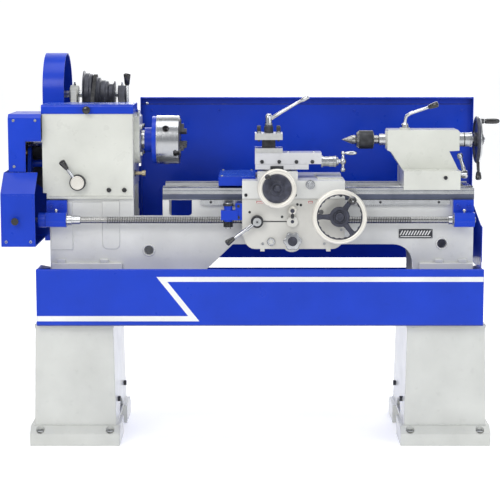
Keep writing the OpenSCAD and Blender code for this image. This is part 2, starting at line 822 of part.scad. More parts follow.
module apron_outline() polygon([
  [saddle_x[0], 799], [saddle_x[0], 676],
  for (a = [180:15:270]) [saddle_x[0] + 40 + 40 * cos(a) * 0.9, 684 + 46 * sin(a)],
  [20, 638], [20, 630], [34, 630], [34, 638], [98, 638],
  for (a = [200:20:340]) [122 + 24 * cos(a), 642 + 14 * sin(a)],
  [146, 638], [232, 638], [232, 630], [246, 630], [246, 638],
  for (a = [270:15:360]) [saddle_x[1] - 40 + 40 * cos(a), 684 + 46 * sin(a)],
  [saddle_x[1], 799]
]);

module apron() color(bed_grey) placed() {
  difference() {
    along_y(apron_y) apron_outline();
    span([saddle_x[0] + 10, saddle_x[1] - 10], [apron_y[0] + 10, apron_y[1] + 1], [690, 800]);
    span([saddle_x[0] + 40, saddle_x[1] - 40], [apron_y[0] + 10, apron_y[1] + 1], [650, 691]);
    rod_x([saddle_x[0] - 1, saddle_x[1] + 1], screw_y, screw_z, 13);
    rod_y([-191, -179], wheel_x, wheel_zz, 10 + fit);
    rod_y([apron_y[0] + 10, apron_y[1] + 1], wheel_x, wheel_zz, 15);
    rod_y([-191, -179], 10, 728, 9 + fit);
    rod_y([-191, -179], 123, 763, 6 + fit);
    rod_y([-191, -179], 123, 668, 8 + fit);
    rod_y([-191, -179], pinion_x, pinion_zz, 8 + fit);
    for (p = [[-14, 757], [139, 782], [90, 742], [150, 780]]) rod_y([-191, -186], p[0], p[1], 3.5);
  }
  rod_y([-196, -190], 55, 662, 9);
  rod_y([-199, -190], 123, 727, 18);
}

module way_guard() color(blue) placed() {
  difference() {
    span([-115, 5], [-126, 126], [858, 865]);
    rod_z([850, 870], -16, -105, 3);
  }
  span([-115, -109], [-126, 126], [836, 859]);
  span([-110, saddle_x[0] - e], [-126, -120], [836, 859]);
  span([-110, saddle_x[0] - e], [120, 126], [836, 859]);
  difference() {
    union() {
      span([-106, -52], [-192, -160], [731, 762]);
      span([-60, saddle_x[0]], [-188, -160], [731, 784]);
      rod_z([726, 776], -83, -178, 14);
    }
    rod_z([700, 780], -83, -178, 5 + fit);
  }
}

module thread_dial() color(steel) placed() {
  rod_z([702, 778], -83, -178, 5);
  translate([-83, -178, 776 + e]) cylinder(h = 8, r1 = 17, r2 = 15);
  translate([-83, -178, 708]) linear_extrude(17) gear_2d(14, 2, 0);
}

// A rim, spokes and hub in the X and Z plane
module wheel_y(y, x, z, r, rim, hub, spokes) {
  translate([x, y, z]) rotate([-90, 0, 0]) {
    translate([0, 0, 0]) rotate_extrude() translate([r - rim, 0]) circle(r = rim, $fn = 32);
    for (a = spokes) rotate(-a) translate([0, -7, -5]) cube([r - rim, 14, 10]);
    translate([0, 0, -8]) cylinder(h = 16, r = hub);
  }
}

module carriage_wheel() color(dark) placed() {
  wheel_y(-236, wheel_x, wheel_zz, wheel_r, 8, 32, [180, 56, -52]);
  rod_y([-250, -243], wheel_x, wheel_zz, 14);
  rod_y([-230, -166], wheel_x, wheel_zz, 10);
  rod_y([-228, -190 - e], wheel_x, wheel_zz, 24);
  along_y([-176, -166]) translate([wheel_x, wheel_zz]) gear_2d(wheel_pinion_z, ap_m, ph_wheel_pinion);
  rod_y([-250, -236], wheel_x + 68 * cos(56), wheel_zz + 68 * sin(56), 5);
  rod_y([-298, -250], wheel_x + 68 * cos(56), wheel_zz + 68 * sin(56), 14);
}
ph_wheel_pinion = mesh_phase(reduction_z, 0, wheel_pinion_z, heading([pinion_x, pinion_zz], [wheel_x, wheel_zz]));

module rack_pinion() color(steel) placed() {
  along_y([-176, -166]) translate([pinion_x, pinion_zz]) gear_2d(reduction_z, ap_m, 0);
  rod_y([-188, -113], pinion_x, pinion_zz, 8);
  along_y([-124, -113]) translate([pinion_x, pinion_zz]) gear_2d(rack_pinion_z, ap_m, 90);
}

module half_nut_lever() color(steel) placed() {
  at = [10, 728];
  rod_y([-216, -190 - e], at[0], at[1], 23);
  rod_y([-191, -178], at[0], at[1], 9);
  rod_y([-179, -173], at[0], at[1], 22);
  bar([at[0] - 10, -208, at[1] - 8], [at[0] - 74, -222, at[1] - 50], 5.5);
  bar([at[0] - 74, -222, at[1] - 50], [at[0] - 99, -227, at[1] - 69], 10);
}

module half_nut(up) color(bronze) placed() {
  s = up ? 1 : -1;
  c = screw_z + s * 6;
  difference() {
    span([-8, 42], [-170, -132], up ? [c, c + 27] : [c - 27, c]);
    rod_x([-10, 44], screw_y, c, 11);
  }
}

module half_nut_upper() half_nut(true);
module half_nut_lower() half_nut(false);

module feed_lever() color(steel) placed() {
  rod_y([-208, -190 - e], 123, 763, 14);
  rod_y([-191, -176], 123, 763, 6);
  bar([123, -202, 763], [123, -206, 742], 5);
}

module star_knob() color(steel) placed() {
  rod_y([-191, -174], 123, 668, 8);
  rod_y([-212, -190 - e], 123, 668, 15);
  along_y([-232, -212])
    translate([123, 668]) {
      circle(r = 24);
      for (a = [18:72:306]) translate(polar(22, a)) circle(r = 9);
    }
}

module cross_slide() color(bed_grey) placed() difference() {
  union() {
    span([11, 140], [-188, 130], [858 + e, 880]);
    span([14, 34], [-190, -170], [858 + e, 886]);
    span([110, 140], [-190, -170], [858 + e, 886]);
  }
  along_y([-195, 135])
    polygon([[39, 857], [107, 857], [113.5, 868.5], [32.5, 868.5]]);
}

module cross_wheel() color(dark) placed() {
  rod_y([-262, 60], cross_x, cross_zz, 5);
  rod_y([-226, -200 - e], cross_x, cross_zz, 18);
  translate([cross_x, -250, cross_zz]) rotate([-90, 0, 0]) {
    rotate_extrude()
      polygon([
        [4, 0], [21, 0], [21, 5], [43, 8], [46, 2], [cross_wheel_r - 3, 0], [cross_wheel_r, 3],
        [cross_wheel_r, 15], [cross_wheel_r - 3, 18], [46, 16], [43, 14], [26, 14], [22, 24], [4, 24]
      ]);
  }
  rod_y([-262, -248], cross_x - 30, cross_zz + 40, 5);
  rod_y([-296, -262], cross_x - 30, cross_zz + 40, 9.5);
}

module compound_base() color(bed_grey) placed() {
  rod_z([880 + e, 886], 75, slide_y, 46);
  difference() {
    union() {
      span([4, 178], [slide_y - 44, slide_y + 44], [886, 903]);
      span([12, 150], [slide_y - 18, slide_y + 18], [903, 917]);
    }
    span([0, 180], [slide_y - 7, slide_y + 7], [901, 918]);
  }
  difference() {
    span([92, 106], [slide_y - 7, slide_y + 7], [901, 917]);
    rod_x([90, 108], slide_y, slide_zz, 5 + fit);
  }
}

module top_slide() color(bed_grey) placed() {
  difference() {
    span([3, 220], [slide_y - 42, slide_y + 42], [903 + e, 940]);
    span([0, 206], [slide_y - 18.4, slide_y + 18.4], [900, 917.4]);
    rod_x([200, 230], slide_y, slide_zz, 5 + fit);
    for (x = [26, 82, 138, 190]) rod_y([slide_y - 43, slide_y - 36], x, 911, 4);
  }
  difference() {
    rod_x([220, 258], slide_y, slide_zz, 16);
    rod_x([218, 260], slide_y, slide_zz, 5 + fit);
  }
  rod_z([940, 1003], post_x, slide_y, 10);
  rod_z([1003, 1014], post_x, slide_y, 7);
}

module ball_crank() color(steel) placed() {
  rod_x([20, 300], slide_y, slide_zz, 5);
  rod_x([258 + e, 276], slide_y, slide_zz, 18);
  translate([292, slide_y, slide_zz]) sphere(r = 11);
  bar([292, slide_y, slide_zz - 26], [292, slide_y, slide_zz + 26], 5);
  translate([292, slide_y, slide_zz - 27]) sphere(r = 8.5);
  translate([292, slide_y, slide_zz + 27]) sphere(r = 7);
  rod_x([292, 300], slide_y, slide_zz + 27, 4);
  translate([300, slide_y, slide_zz + 27]) rotate([0, 90, 0]) cylinder(h = 37, r1 = 5, r2 = 7);
}

module tool_post() color(steel) placed() {
  p = post_half;
  difference() {
    union() {
      span([post_x - p, post_x + p], [slide_y - p, slide_y + p], [940 + e, 955]);
      span([post_x - 22, post_x + 22], [slide_y - 22, slide_y + 22], [955, 982]);
      span([post_x - p, post_x + p], [slide_y - p, slide_y + p], [982, 1003]);
    }
    rod_z([930, 1010], post_x, slide_y, 10.06);
    for (sx = [-1, 1], sy = [-1, 1])
      rod_z([980, 1004], post_x + sx * 32, slide_y + sy * 32, 6);
  }
  for (sx = [-1, 1], sy = [-1, 1])
    translate([post_x + sx * 32, slide_y + sy * 32, 0]) {
      translate([0, 0, 983]) cylinder(h = 27, r = 5.9);
      translate([-6, -6, 1010]) cube([12, 12, 14]);
    }
}

module clamp_lever() color(steel) placed() {
  difference() {
    union() {
      rod_z([1003 + e, 1024], post_x, slide_y, 15);
      translate([post_x, slide_y, 1024]) cylinder(h = 36, r1 = 13, r2 = 11);
      translate([post_x, slide_y, 1058]) cylinder(h = 7, r1 = 11, r2 = 8);
    }
    rod_z([1000, 1016], post_x, slide_y, 7 + fit);
  }
  bar([post_x + 8, slide_y, 1050], [post_x + 110, slide_y - 8, 1109], 5.5);
  bar([post_x + 108, slide_y - 8, 1108], [post_x + 131, slide_y - 10, 1121], 8);
}

// ---------------------------------------------------------------- tailstock

module tailstock_base() color(ivory) placed() {
  difference() {
    union() {
      span([485, 669], [-118, 112], [way_top + e, 884]);
      span([485, 669], [-126, -118], [822, 884]);
      span([540, 640], [-56, 56], [766, way_top + 1]);
    }
    for (s = [-1, 1])
      along_x([480, 680])
        polygon([[s * vee_y - 10, way_top], [s * vee_y, way_top + vee_h + 1], [s * vee_y + 10, way_top]]);
    rod_x([638, 671], -20, 864, 9 + fit);
  }
  for (s = [-1, 1]) span([540, 640], s > 0 ? [56, 84] : [-84, -56], [766, way_low - 1]);
  rod_y([-128, -126], 620, 862, 7);
}

module tailstock_body() color(ivory) placed() difference() {
  union() {
    along_y([-52, 52])
      polygon([
        [437, 945], [437, 1008], [441, 1012], [667, 1012], [673, 1006], [673, 944], [640, 942], [669, 884],
        [485, 884], [449, 940]
      ]);
    rod_x([673, 719], 0, spindle_z, 23);
    rod_z([1012, 1018], 496, -20, 17);
  }
  rod_x([430, 652], 0, spindle_z, quill_r + fit);
  rod_x([650, 722], 0, spindle_z, 10 + fit);
  rod_z([992, 1020], 496, -20, 7 + fit);
}

module quill() color(steel) placed() difference() {
  rod_x(quill_x, 0, spindle_z, quill_r);
  rod_x([500, 650], 0, spindle_z, 11);
  translate([quill_x[0] - 1, 0, spindle_z]) rotate([0, 90, 0]) cylinder(h = 62, r1 = 12.3, r2 = 10);
}

module live_centre() color(dark) placed() {
  translate([0, 0, spindle_z]) rotate([0, 90, 0]) {
    rotate_extrude()
      polygon([
        [0, 289], [15, 324], [15, 334], [24, 338], [30.5, 346], [30.5, 392], [27, 395], [14, 395],
        [14, 410], [12, 413], [9.9, 472], [0, 472]
      ]);
  }
}

module tailstock_wheel() color(dark) placed() {
  difference() {
    rod_x([560, 745], 0, spindle_z, 10);
    rod_x([550, 640], 0, spindle_z, 4);
  }
  translate([738, 0, spindle_z]) rotate([0, 90, 0])
    rotate_extrude() translate([tail_wheel_r - 8, 0]) circle(r = 8, $fn = 32);
  turned_x(0, 0, spindle_z) polygon([[9, 724], [22, 724], [22, 735], [tail_wheel_r - 8, 735],
    [tail_wheel_r - 8, 742], [24, 744], [22, 757], [9, 757]]);
  bar([744, -22, spindle_z + 62], [758, -22, spindle_z + 62], 6);
  rod_x([758, 808], -22, spindle_z + 62, 9.5);
  bar([738, -26, spindle_z - 72], [738, -38, spindle_z - 104], 5);
  bar([738, -38, spindle_z - 104], [738, -47, spindle_z - 130], 10);
}

module quill_lock() color(steel) placed() {
  rod_z([1000, 1034], 496, -20, 7);
  rod_z([1018 + e, 1030], 496, -20, 12);
  bar([496, -20, 1030], [499, -22, 1058], 5);
  translate([499, -22, 1058]) sphere(r = 6);
  bar([499, -22, 1058], [570, -40, 1085], 5);
  bar([568, -40, 1084], [602, -48, 1097], 10);
}

module bed_clamp_lever() color(steel) placed() {
  rod_x([640, 704], -20, 864, 9);
  rod_x([669 + e, 704], -20, 864, 13);
  bar([696, -20, 870], [679, -20, 926], 6);
  translate([679, -20, 926]) sphere(r = 9);
}

legs();
chip_tray();
splash_guard();
bed();
rack();
fasteners();
headstock();
bearing_cap();
gear_cover_upper();
gear_bracket();
screw_brackets();
countershaft_bracket();
belt_guard();
motor();
drive_belts();
spindle();
chuck_backplate();
chuck_body();
jaw_1();
jaw_2();
jaw_3();
cone_pulley();
back_gears();
shift_fork();
gear_lever();
countershaft();
motor_pulley();
tumbler_gear();
stud_gear();
change_gear();
lead_screw();
headstock_lid();
gear_cover_lower();
tension_lever();
plunger();
saddle();
apron();
way_guard();
thread_dial();
carriage_wheel();
rack_pinion();
half_nut_lever();
half_nut_upper();
half_nut_lower();
feed_lever();
star_knob();
cross_slide();
cross_wheel();
compound_base();
top_slide();
ball_crank();
tool_post();
clamp_lever();
tailstock_base();
tailstock_body();
quill();
live_centre();
tailstock_wheel();
quill_lock();
bed_clamp_lever();
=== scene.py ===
"""Looks of the centre lathe: CAD nodes get their finishes, and detailed pieces replace or join them."""

import math

import bmesh
import bpy
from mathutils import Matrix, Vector


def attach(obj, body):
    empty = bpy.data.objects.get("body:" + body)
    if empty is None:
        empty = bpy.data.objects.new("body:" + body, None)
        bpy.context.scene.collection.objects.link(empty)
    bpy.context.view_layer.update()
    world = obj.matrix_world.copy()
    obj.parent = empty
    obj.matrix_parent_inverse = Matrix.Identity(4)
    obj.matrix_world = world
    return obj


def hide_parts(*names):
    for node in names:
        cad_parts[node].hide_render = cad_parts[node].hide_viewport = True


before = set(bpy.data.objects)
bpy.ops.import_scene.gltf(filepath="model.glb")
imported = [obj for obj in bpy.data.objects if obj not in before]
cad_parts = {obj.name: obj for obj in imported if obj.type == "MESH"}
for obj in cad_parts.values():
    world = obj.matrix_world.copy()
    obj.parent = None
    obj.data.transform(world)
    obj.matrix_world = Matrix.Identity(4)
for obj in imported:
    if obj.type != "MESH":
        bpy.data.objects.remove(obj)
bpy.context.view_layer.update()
scene = bpy.context.scene

# Shapes are in millimetres in the frame of the CAD source: X along the bed, Y back from the spindle
# line, Z up from the floor. The lights and the floor sheet are in metres.
SHIFT_Y = -50.0
MM = 0.001
TINY = 1e-6
SPINDLE_Z = 977.0

# The (Y, Z) of lines that run along X.
SPINDLE_LINE = (0, SPINDLE_Z)
SCREW_LINE = (-150, 727)
COUNTER_LINE = (230, 1118)
MOTOR_LINE = (300, 700)
SLIDE_LINE = (-50, 909)

# The front face of the apron, as Y, and the depth just behind it where its fittings start.
APRON_FACE = -190
APRON_SEAT = -190.4

CAMERA_PLACE = (0, -5288, 1333)
CAMERA_TILT = 7.8
CAMERA_LENS = 115.2
CAMERA_SENSOR = 36.0
CAMERA_SHIFT = -0.008

# ---------------------------------------------------------------- camera, floor and light


def row(x, y, z):
    """A design point in millimetres as a point of the row frame in metres."""
    return Vector((x * MM, (y + SHIFT_Y) * MM, z * MM))


def make_camera():
    data = bpy.data.cameras.new("camera")
    data.lens = CAMERA_LENS
    data.sensor_width = CAMERA_SENSOR
    data.shift_x = CAMERA_SHIFT
    camera = bpy.data.objects.new("camera", data)
    camera.location = row(*CAMERA_PLACE)
    camera.rotation_euler = (math.radians(90 - CAMERA_TILT), 0, 0)
    scene.collection.objects.link(camera)
    scene.camera = camera


def make_area(name, place, aim, size, power, colour=(1, 1, 1)):
    data = bpy.data.lights.new(name, "AREA")
    data.shape = "RECTANGLE"
    data.size, data.size_y = size
    data.energy = power
    data.color = colour
    light = bpy.data.objects.new(name, data)
    light.location = place
    light.rotation_euler = (Vector(aim) - Vector(place)).to_track_quat("-Z", "Y").to_euler()
    scene.collection.objects.link(light)


def make_studio():
    world = bpy.data.worlds.new("studio")
    world.use_nodes = True
    background = world.node_tree.nodes["Background"]
    background.inputs["Color"].default_value = (0.93, 0.96, 1.0, 1)
    background.inputs["Strength"].default_value = 0.42
    scene.world = world
    scene.view_settings.view_transform = "Standard"
    make_area("key", (-2.2, -4.2, 3.6), (0, 0, 0.7), (2.6, 2.0), 92, (1.0, 0.98, 0.95))
    make_area("fill", (3.2, -3.6, 2.2), (0.2, 0, 0.6), (2.4, 2.4), 40, (0.95, 0.98, 1.0))
    make_area("top", (0, -0.4, 3.6), (0, 0, 0.8), (3.2, 1.6), 38)
    make_area("rear", (0.6, 3.4, 2.6), (0, 0, 0.9), (3.0, 2.0), 60)


# ---------------------------------------------------------------- finishes


class Finish:
    """A material under construction: small helpers over its node tree."""

    def __init__(self, name):
        self.material = bpy.data.materials.new(name)
        self.material.use_nodes = True
        self.tree = self.material.node_tree
        self.shader = self.tree.nodes["Principled BSDF"]
        self.where = self.add("ShaderNodeTexCoord").outputs["Object"]

    def add(self, kind, settings=(), **inputs):
        node = self.tree.nodes.new(kind)
        for key, value in dict(settings).items():
            setattr(node, key, value)
        for key, value in inputs.items():
            self.put(node.inputs[key], value)
        return node

    def put(self, socket, value):
        if isinstance(value, bpy.types.NodeSocket):
            self.tree.links.new(value, socket)
        else:
            socket.default_value = value

    def set(self, **inputs):
        for key, value in inputs.items():
            self.put(self.shader.inputs[key.replace("_", " ")], value)

    def math(self, operation, a, b=0.0):
        node = self.add("ShaderNodeMath", {"operation": operation})
        self.put(node.inputs[0], a)
        self.put(node.inputs[1], b)
        return node.outputs[0]

    def mix(self, factor, a, b):
        """Mixes two colours. Sockets 6 and 7 of a Mix node are its colours, and output 2 the result."""
        node = self.add("ShaderNodeMix", {"data_type": "RGBA"})
        self.put(node.inputs[0], factor)
        self.put(node.inputs[6], a)
        self.put(node.inputs[7], b)
        return node.outputs[2]

    def noise(self, scale, detail=2.0, where=None):
        node = self.add("ShaderNodeTexNoise", Scale=scale, Detail=detail)
        self.put(node.inputs["Vector"], where or self.where)
        return node.outputs["Fac"]

    def spread(self, value, low, high, to_low=0.0, to_high=1.0):
        node = self.add("ShaderNodeMapRange", Value=value)
        self.put(node.inputs["From Min"], low)
        self.put(node.inputs["From Max"], high)
        self.put(node.inputs["To Min"], to_low)
        self.put(node.inputs["To Max"], to_high)
        return node.outputs["Result"]

    def soft_normal(self, radius):
        node = self.add("ShaderNodeBevel", {"samples": 4}, Radius=radius)
        return node.outputs["Normal"]

    def edge_mask(self, soft):
        true = self.add("ShaderNodeNewGeometry").outputs["True Normal"]
        dot = self.add("ShaderNodeVectorMath", {"operation": "DOT_PRODUCT"})
        self.put(dot.inputs[0], soft)
        self.put(dot.inputs[1], true)
        return self.spread(dot.outputs["Value"], 0.995, 0.86)

    def bump(self, height, distance, strength=1.0, normal=None):
        node = self.add("ShaderNodeBump", Strength=strength, Distance=distance, Height=height)
        if normal is not None:
            self.put(node.inputs["Normal"], normal)
        return node.outputs["Normal"]

    def stretched(self, scale):
        node = self.add("ShaderNodeMapping", Vector=self.where)
        node.inputs["Scale"].default_value = scale
        return node.outputs["Vector"]

    def rings(self, axis, centre):
        """Coordinates that only change along an axis and with the distance from it."""
        moved = self.add("ShaderNodeVectorMath", {"operation": "SUBTRACT"})
        self.put(moved.inputs[0], self.where)
        moved.inputs[1].default_value = centre
        split = self.add("ShaderNodeSeparateXYZ", Vector=moved.outputs["Vector"])
        others = [k for k in "XYZ" if k != axis]
        square = [self.math("MULTIPLY", split.outputs[k], split.outputs[k]) for k in others]
        radius = self.math("SQRT", self.math("ADD", square[0], square[1]))
        return self.add("ShaderNodeCombineXYZ", X=split.outputs[axis], Y=radius).outputs["Vector"]


def rgba(colour, gain=1.0):
    return (*[min(1.0, c * gain) for c in colour], 1.0)


RUBBED = (0.42, 0.42, 0.40)


def paint(name, colour, rough=0.3, grain=0.10, wear=0.5, coat=0.35, soft=1.2, shine=0.5):
    """Gloss paint on a casting or sheet: orange peel, broad mottling and rubbed edges."""
    m = Finish(name)
    mottle = m.noise(7.0, 4.0)
    tone = m.mix(m.spread(mottle, 0.3, 0.7), rgba(colour, 0.9), rgba(colour, 1.06))
    dirt = m.spread(m.noise(46.0, 6.0), 0.62, 0.74, 0.0, 0.16)
    tone = m.mix(dirt, tone, rgba(colour, 0.62))
    soft_normal = m.soft_normal(soft * MM)
    rubbed = m.spread(m.noise(90.0, 5.0), 0.5, 0.66, 0.0, wear)
    tone = m.mix(m.math("MULTIPLY", rubbed, m.edge_mask(soft_normal)), tone, rgba(RUBBED))
    peel = m.math("ADD", m.noise(420.0, 2.0), m.math("MULTIPLY", m.noise(110.0, 2.0), 1.6))
    m.set(
        Base_Color=tone,
        Roughness=m.spread(m.noise(21.0, 4.0), 0.3, 0.7, rough - 0.05, rough + 0.09),
        Specular_IOR_Level=shine,
        Coat_Weight=coat,
        Coat_Roughness=0.12,
        Normal=m.bump(peel, grain * MM, 0.55, soft_normal),
    )
    return m.material


def brushed(name, colour, along=(6, 500, 500), rough=0.3, wear=0.5, soft=0.5):
    """Ground or brushed metal with fine lines along one direction and a few darker stains."""
    m = Finish(name)
    lines = m.noise(1.0, 6.0, m.stretched(along))
    stain = m.spread(m.noise(28.0, 5.0), 0.45, 0.72, 0.0, wear)
    tone = m.mix(m.spread(lines, 0.3, 0.7), rgba(colour, 0.78), rgba(colour, 1.1))
    tone = m.mix(stain, tone, rgba(colour, 0.62))
    m.set(
        Base_Color=tone,
        Metallic=1.0,
        Roughness=m.spread(lines, 0.3, 0.7, rough - 0.08, rough + 0.12),
        Normal=m.bump(lines, 0.04 * MM, 0.3, m.soft_normal(soft * MM)),
    )
    return m.material


def turned(name, colour, axis="X", centre=(0, 0, 0), rough=0.24, pitch=900.0, soft=0.4, metallic=1.0):
    """Metal from a lathe: fine rings round an axis."""
    m = Finish(name)
    lines = m.noise(pitch, 3.0, m.rings(axis, centre))
    broad = m.noise(30.0, 4.0)
    tone = m.mix(m.spread(lines, 0.3, 0.7), rgba(colour, 0.88), rgba(colour, 1.06))
    tone = m.mix(m.spread(broad, 0.5, 0.75, 0.0, 0.25), tone, rgba(colour, 0.7))
    m.set(
        Base_Color=tone,
        Metallic=metallic,
        Roughness=m.spread(lines, 0.3, 0.7, rough - 0.07, rough + 0.13),
        Normal=m.bump(lines, 0.03 * MM, 0.25, m.soft_normal(soft * MM)),
    )
    return m.material


def chrome(name, colour=(0.62, 0.63, 0.65), rough=0.14):
    m = Finish(name)
    haze = m.noise(35.0, 5.0)
    m.set(
        Base_Color=m.mix(m.spread(haze, 0.4, 0.7), rgba(colour), rgba(colour, 0.82)),
        Metallic=1.0,
        Roughness=m.spread(haze, 0.35, 0.7, rough, rough + 0.12),
        Normal=m.bump(m.noise(240.0, 3.0), 0.02 * MM, 0.12, m.soft_normal(0.4 * MM)),
    )
    return m.material


def blackened(name, colour=(0.035, 0.036, 0.04), rough=0.42, metallic=0.6, soft=0.5):
    """Oiled black steel or dark painted iron with bright rubbed edges."""
    m = Finish(name)
    tone = m.mix(m.spread(m.noise(60.0, 5.0), 0.35, 0.7), rgba(colour), rgba(colour, 1.9))
    soft_normal = m.soft_normal(soft * MM)
    patches = m.spread(m.noise(130.0, 4.0), 0.42, 0.6, 0.0, 0.7)
    rubbed = m.math("MULTIPLY", m.edge_mask(soft_normal), patches)
    m.set(
        Base_Color=m.mix(rubbed, tone, (0.32, 0.32, 0.33, 1)),
        Metallic=metallic,
        Roughness=m.spread(m.noise(40.0, 4.0), 0.3, 0.7, rough - 0.08, rough + 0.12),
        Normal=m.bump(m.noise(520.0, 3.0), 0.06 * MM, 0.5, soft_normal),
    )
    return m.material


def plastic(name, colour, rough=0.34, coat=0.3):
    m = Finish(name)
    tone = m.mix(m.spread(m.noise(33.0, 4.0), 0.35, 0.7), rgba(colour), rgba(colour, 1.35))
    m.set(
        Base_Color=tone,
        Roughness=m.spread(m.noise(75.0, 4.0), 0.3, 0.7, rough - 0.06, rough + 0.12),
        Coat_Weight=coat,
        Normal=m.bump(m.noise(620.0, 2.0), 0.03 * MM, 0.4, m.soft_normal(0.5 * MM)),
    )
    return m.material


def rubber(name, colour=(0.018, 0.018, 0.019)):
    m = Finish(name)
    weave = m.add("ShaderNodeTexWave", {"wave_type": "BANDS", "bands_direction": "X"}, Scale=180.0)
    m.put(weave.inputs["Vector"], m.where)
    m.set(
        Base_Color=m.mix(m.spread(m.noise(90.0, 5.0), 0.4, 0.7), rgba(colour), rgba(colour, 2.4)),
        Roughness=m.spread(m.noise(60.0), 0.3, 0.7, 0.62, 0.85),
        Normal=m.bump(weave.outputs["Fac"], 0.1 * MM, 0.6),
    )
    return m.material


def texture_centre(line):
    """The place, in metres, that ring textures round a line along X are centred on."""
    return (0, (line[0] + SHIFT_Y) * MM, line[1] * MM)


BLUE = (0.004, 0.046, 0.54)
IVORY = (0.70, 0.71, 0.655)
BED_GREY = (0.77, 0.775, 0.755)
APRON_GREY = (0.67, 0.66, 0.62)
STEEL = (0.56, 0.57, 0.58)

blue = paint("blue_paint", BLUE, rough=0.32, grain=0.05, coat=0.08, shine=0.28)
blue_sheet = paint("blue_sheet_paint", BLUE, rough=0.32, grain=0.025, coat=0.08, soft=0.8, shine=0.28)
deep_blue = paint("deep_blue_paint", (0.012, 0.03, 0.26), rough=0.35)
ivory = paint("ivory_paint", IVORY, rough=0.3, grain=0.12, soft=2.6)
leg_ivory = paint("leg_paint", (0.64, 0.65, 0.62), rough=0.34, grain=0.14, soft=5.0)
bed_paint = paint("bed_paint", BED_GREY, rough=0.36, grain=0.16, soft=2.0)
apron_paint = paint("apron_paint", APRON_GREY, rough=0.32, grain=0.1, soft=2.2)
slide_paint = paint("slide_paint", (0.72, 0.72, 0.75), rough=0.3, grain=0.06, soft=1.4)
white_stripe = paint("white_stripe", (0.86, 0.87, 0.86), rough=0.3, grain=0.02, wear=0.2)
slate = brushed("slate_way", (0.135, 0.15, 0.21), (5, 400, 400), rough=0.36, wear=0.4)
ground_x = brushed("ground_along_bed", (0.62, 0.63, 0.645), (5, 700, 700), rough=0.22)
ground_y = brushed("ground_across_bed", (0.50, 0.51, 0.52), (700, 6, 700), rough=0.26)
axis_x = texture_centre(SPINDLE_LINE)
turned_spindle = turned("turned_spindle", STEEL, "X", axis_x)
turned_chuck = turned("turned_chuck", (0.50, 0.51, 0.53), "X", axis_x, rough=0.2, pitch=500.0)
turned_x = turned("turned_along_x", STEEL, "X")
turned_y = turned("turned_along_y", (0.60, 0.61, 0.62), "Y")
turned_z = turned("turned_along_z", STEEL, "Z")
cream = turned("polished_cream_rim", (0.82, 0.79, 0.72), "Y", rough=0.3, pitch=300.0, metallic=0.3)
bright = chrome("bright_chrome")
dull_chrome = chrome("dull_chrome", (0.48, 0.49, 0.51), rough=0.24)
post_plate = chrome("post_plate", (0.80, 0.80, 0.79), rough=0.28)
black_steel = blackened("blackened_steel")
dark_iron = blackened("dark_iron", (0.04, 0.042, 0.055), rough=0.45, metallic=0.3)
slate_disc = blackened("slate_disc", (0.032, 0.034, 0.05), rough=0.36, metallic=0.2)
jaw_steel = brushed("jaw_steel", (0.16, 0.16, 0.17), (300, 300, 40), rough=0.34)
gear_steel = brushed("gear_steel", (0.33, 0.33, 0.34), (400, 60, 60), rough=0.35)
bronze = brushed("bronze", (0.50, 0.38, 0.20), (60, 400, 400), rough=0.32)
grip_black = plastic("black_grip", (0.012, 0.012, 0.013), rough=0.22, coat=0.6)
label_red = plastic("red_label", (0.50, 0.035, 0.03), rough=0.4)
label_white = plastic("pale_label", (0.72, 0.72, 0.70), rough=0.4)
plate_black = plastic("black_plate", (0.014, 0.014, 0.016), rough=0.35)
glass_oil = plastic("oil_sight", (0.16, 0.09, 0.025), rough=0.08, coat=1.0)
belt_rubber = rubber("belt_rubber")

# ---------------------------------------------------------------- shapes

PLANES = {"X": ("Y", "Z"), "Y": ("X", "Z"), "Z": ("X", "Y")}

# The rounded end of a bar: its angles, its depth, its widest and narrowest ring, as shares of the radius.
DOME_ANGLES = (0.0, 0.4, 0.8, 1.2, 1.5708)
DOME_DEPTH = 0.45
DOME_WIDEST = 0.999
DOME_TIP = 0.02


def point_on(axis, along, u, v):
    """A point from a place along an axis and two numbers across it, the others in XYZ order."""
    values = dict(zip(PLANES[axis], (u, v)))
    values[axis] = along
    return Vector((values["X"], values["Y"], values["Z"]))


def rounded(profile, radius, steps=3):
    """An open polyline with its inner corners turned into small arcs."""
    out = [profile[0]]
    for before, corner, after in zip(profile, profile[1:], profile[2:]):
        a, b, c = Vector(before), Vector(corner), Vector(after)
        cut = min(radius, (a - b).length * 0.45, (c - b).length * 0.45)
        start = b + (a - b).normalized() * cut
        end = b + (c - b).normalized() * cut
        for i in range(steps + 1):
            t = i / steps
            out.append(tuple((1 - t) ** 2 * start + 2 * t * (1 - t) * b + t * t * end))
    return out + [profile[-1]]


def around(count):
    """Angles that share out one full turn, from zero."""
    return [2 * math.pi * i / count for i in range(count)]


def polar(centre, radius, angle):
    """The two numbers across an axis at a distance and an angle from a centre."""
    return centre[0] + radius * math.cos(angle), centre[1] + radius * math.sin(angle)


